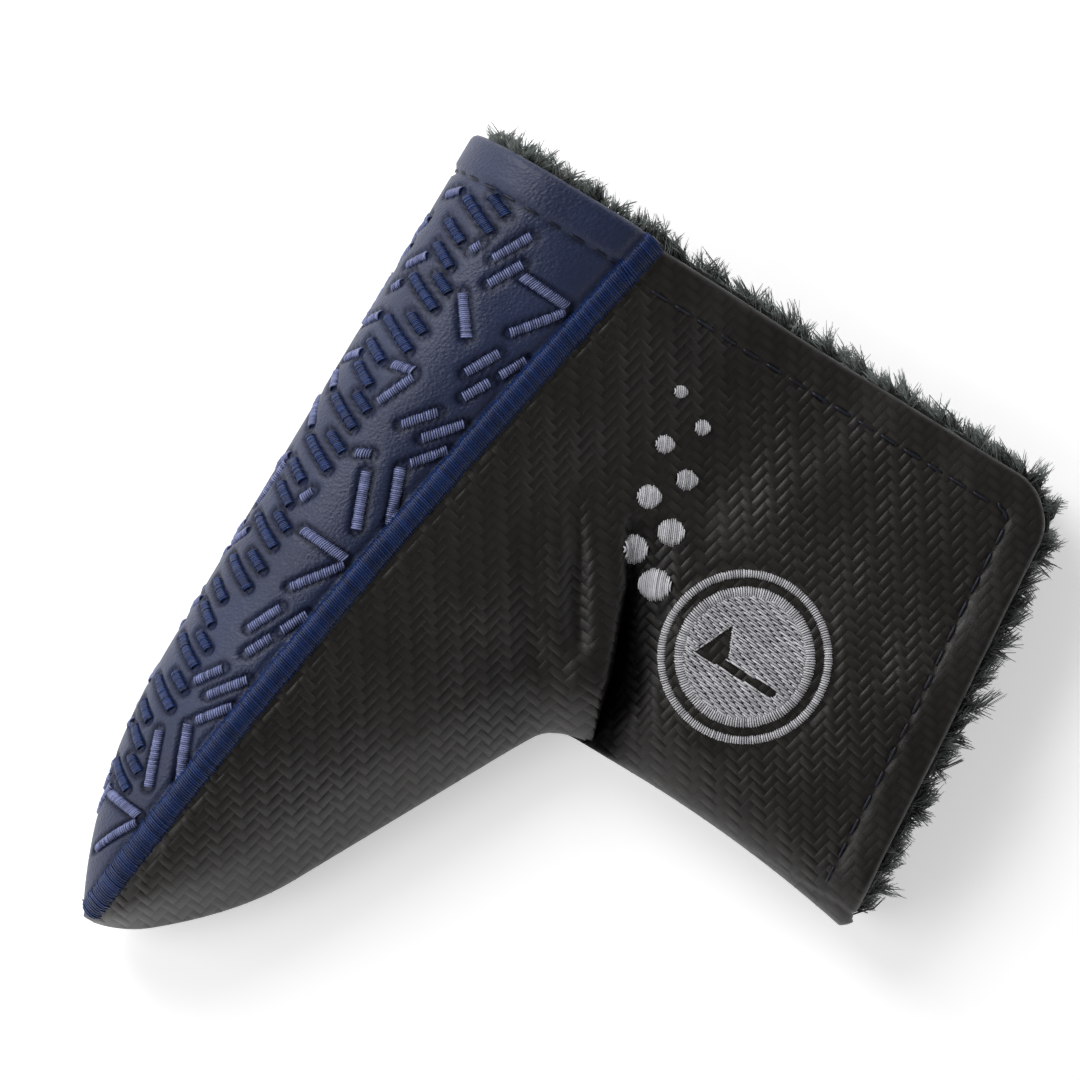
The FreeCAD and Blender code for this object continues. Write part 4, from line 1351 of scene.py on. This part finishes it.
def closure():
    """Hooks under the flap and loops on the rear lining, standing on the CAD strips."""
    for kind, body in (("hook", "flap"), ("loop", "cover")):
        low, high = corners(f"{kind}_strip")
        face = low[2] if kind == "hook" else high[2]
        facing = -1.0 if kind == "hook" else 1.0
        x, y = np.meshgrid(*[np.arange(low[axis] + 1.0, high[axis] - 0.8, BRISTLE_PITCH) for axis in (0, 1)])
        base = np.stack([x.ravel(), y.ravel(), np.full(x.size, face)], 1)
        part = np.linspace(0.0, 1.0, 7)
        draw = np.random.default_rng(71 if kind == "hook" else 72)
        swing = draw.uniform(0, 2 * math.pi, len(base)) if kind == "loop" else np.zeros(len(base))
        bow = np.sin(part * math.pi) * 0.35
        out = np.sin(part * math.pi * (0.75 if kind == "hook" else 1.0)) * 0.95
        paths = base[:, None] + np.stack([
            np.cos(swing)[:, None] * (bow + 0.4 * part), np.sin(swing)[:, None] * (bow + 0.4 * part),
            np.broadcast_to(out * facing, (len(base), len(part)))], -1)
        strand = (paths, np.full(len(part), 0.09), np.array([0.1, 1.0, 0.05]))
        bristles = thread_piece(f"{kind}_bristles", [strand], TAPE)
        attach(bristles, body)


def finish_cad_nodes():
    """The CAD pieces that keep their shape get these finishes."""
    for node in ("hook_strip", "loop_strip", "hook_strip_stitching", "loop_strip_stitching"):
        material = HEM_THREAD if node.endswith("stitching") else TAPE
        for place in frame["nodes"][node].material_slots:
            place.material = material


# ------------------------------------------------------------ studio

def surroundings():
    """Bright all round the horizon and dim overhead, so that round edges catch the light."""
    world = bpy.data.worlds.new("studio")
    world.use_nodes = True
    tree = world.node_tree
    place = tree.nodes.new("ShaderNodeTexCoord")
    split = tree.nodes.new("ShaderNodeSeparateXYZ")
    ramp = tree.nodes.new("ShaderNodeValToRGB")
    elements = ramp.color_ramp.elements
    elements.new(0.25)
    elements.new(0.6)
    for element, (height, level) in zip(elements, ((0.0, 1.0), (0.25, 0.5), (0.6, 0.14), (1.0, 0.08))):
        element.position = height
        element.color = (level, level, level, 1.0)
    tree.links.new(place.outputs["Generated"], split.inputs[0])
    tree.links.new(split.outputs["Z"], ramp.inputs[0])
    tree.links.new(ramp.outputs[0], tree.nodes["Background"].inputs["Color"])
    tree.nodes["Background"].inputs["Strength"].default_value = 1.5
    bpy.context.scene.world = world


FLOOR_REACH = 1.5
FLOOR_HEIGHT = -1.0      # just under the threads of the rear border


def studio():
    """A white floor, two soft boxes and the surroundings."""
    mesh = bpy.data.meshes.new("floor")
    reach = FLOOR_REACH
    corners_at = ((-reach, -reach), (reach, -reach), (reach, reach), (-reach, reach))
    mesh.from_pydata([(x, y, FLOOR_HEIGHT * MM) for x, y in corners_at], [], [(0, 1, 2, 3)])
    floor = bpy.data.objects.new("floor", mesh)
    bpy.context.scene.collection.objects.link(floor)
    paint = bpy.data.materials.new("floor_paint")
    paint.use_nodes = True
    shader = paint.node_tree.nodes["Principled BSDF"]
    shader.inputs["Base Color"].default_value = (0.9, 0.9, 0.9, 1.0)
    shader.inputs["Roughness"].default_value = 0.9
    shader.inputs["Specular IOR Level"].default_value = 0.1
    shader.inputs["Emission Color"].default_value = (1.0, 1.0, 1.0, 1.0)
    shader.inputs["Emission Strength"].default_value = 0.42
    mesh.materials.append(paint)
    surroundings()
    bpy.context.scene.view_settings.view_transform = "Standard"
    for name, where, size, power in (
        ("key_softbox", (0.29, 0.50, 0.42), 0.40, 3.6),
        ("side_softbox", (-0.25, 0.40, 0.45), 0.40, 1.6),
    ):
        light = bpy.data.lights.new(name, "AREA")
        light.size = size
        light.energy = power
        lamp = bpy.data.objects.new(name, light)
        lamp.location = Vector(where)
        lamp.rotation_euler = (MIDDLE - lamp.location).to_track_quat("-Z", "Y").to_euler()
        bpy.context.scene.collection.objects.link(lamp)


leather()
layers()
borders()
sole_embroidery()
badge()
dots()
hem_stitching()
seam_stitching()
fleece()
closure()
finish_cad_nodes()
studio()
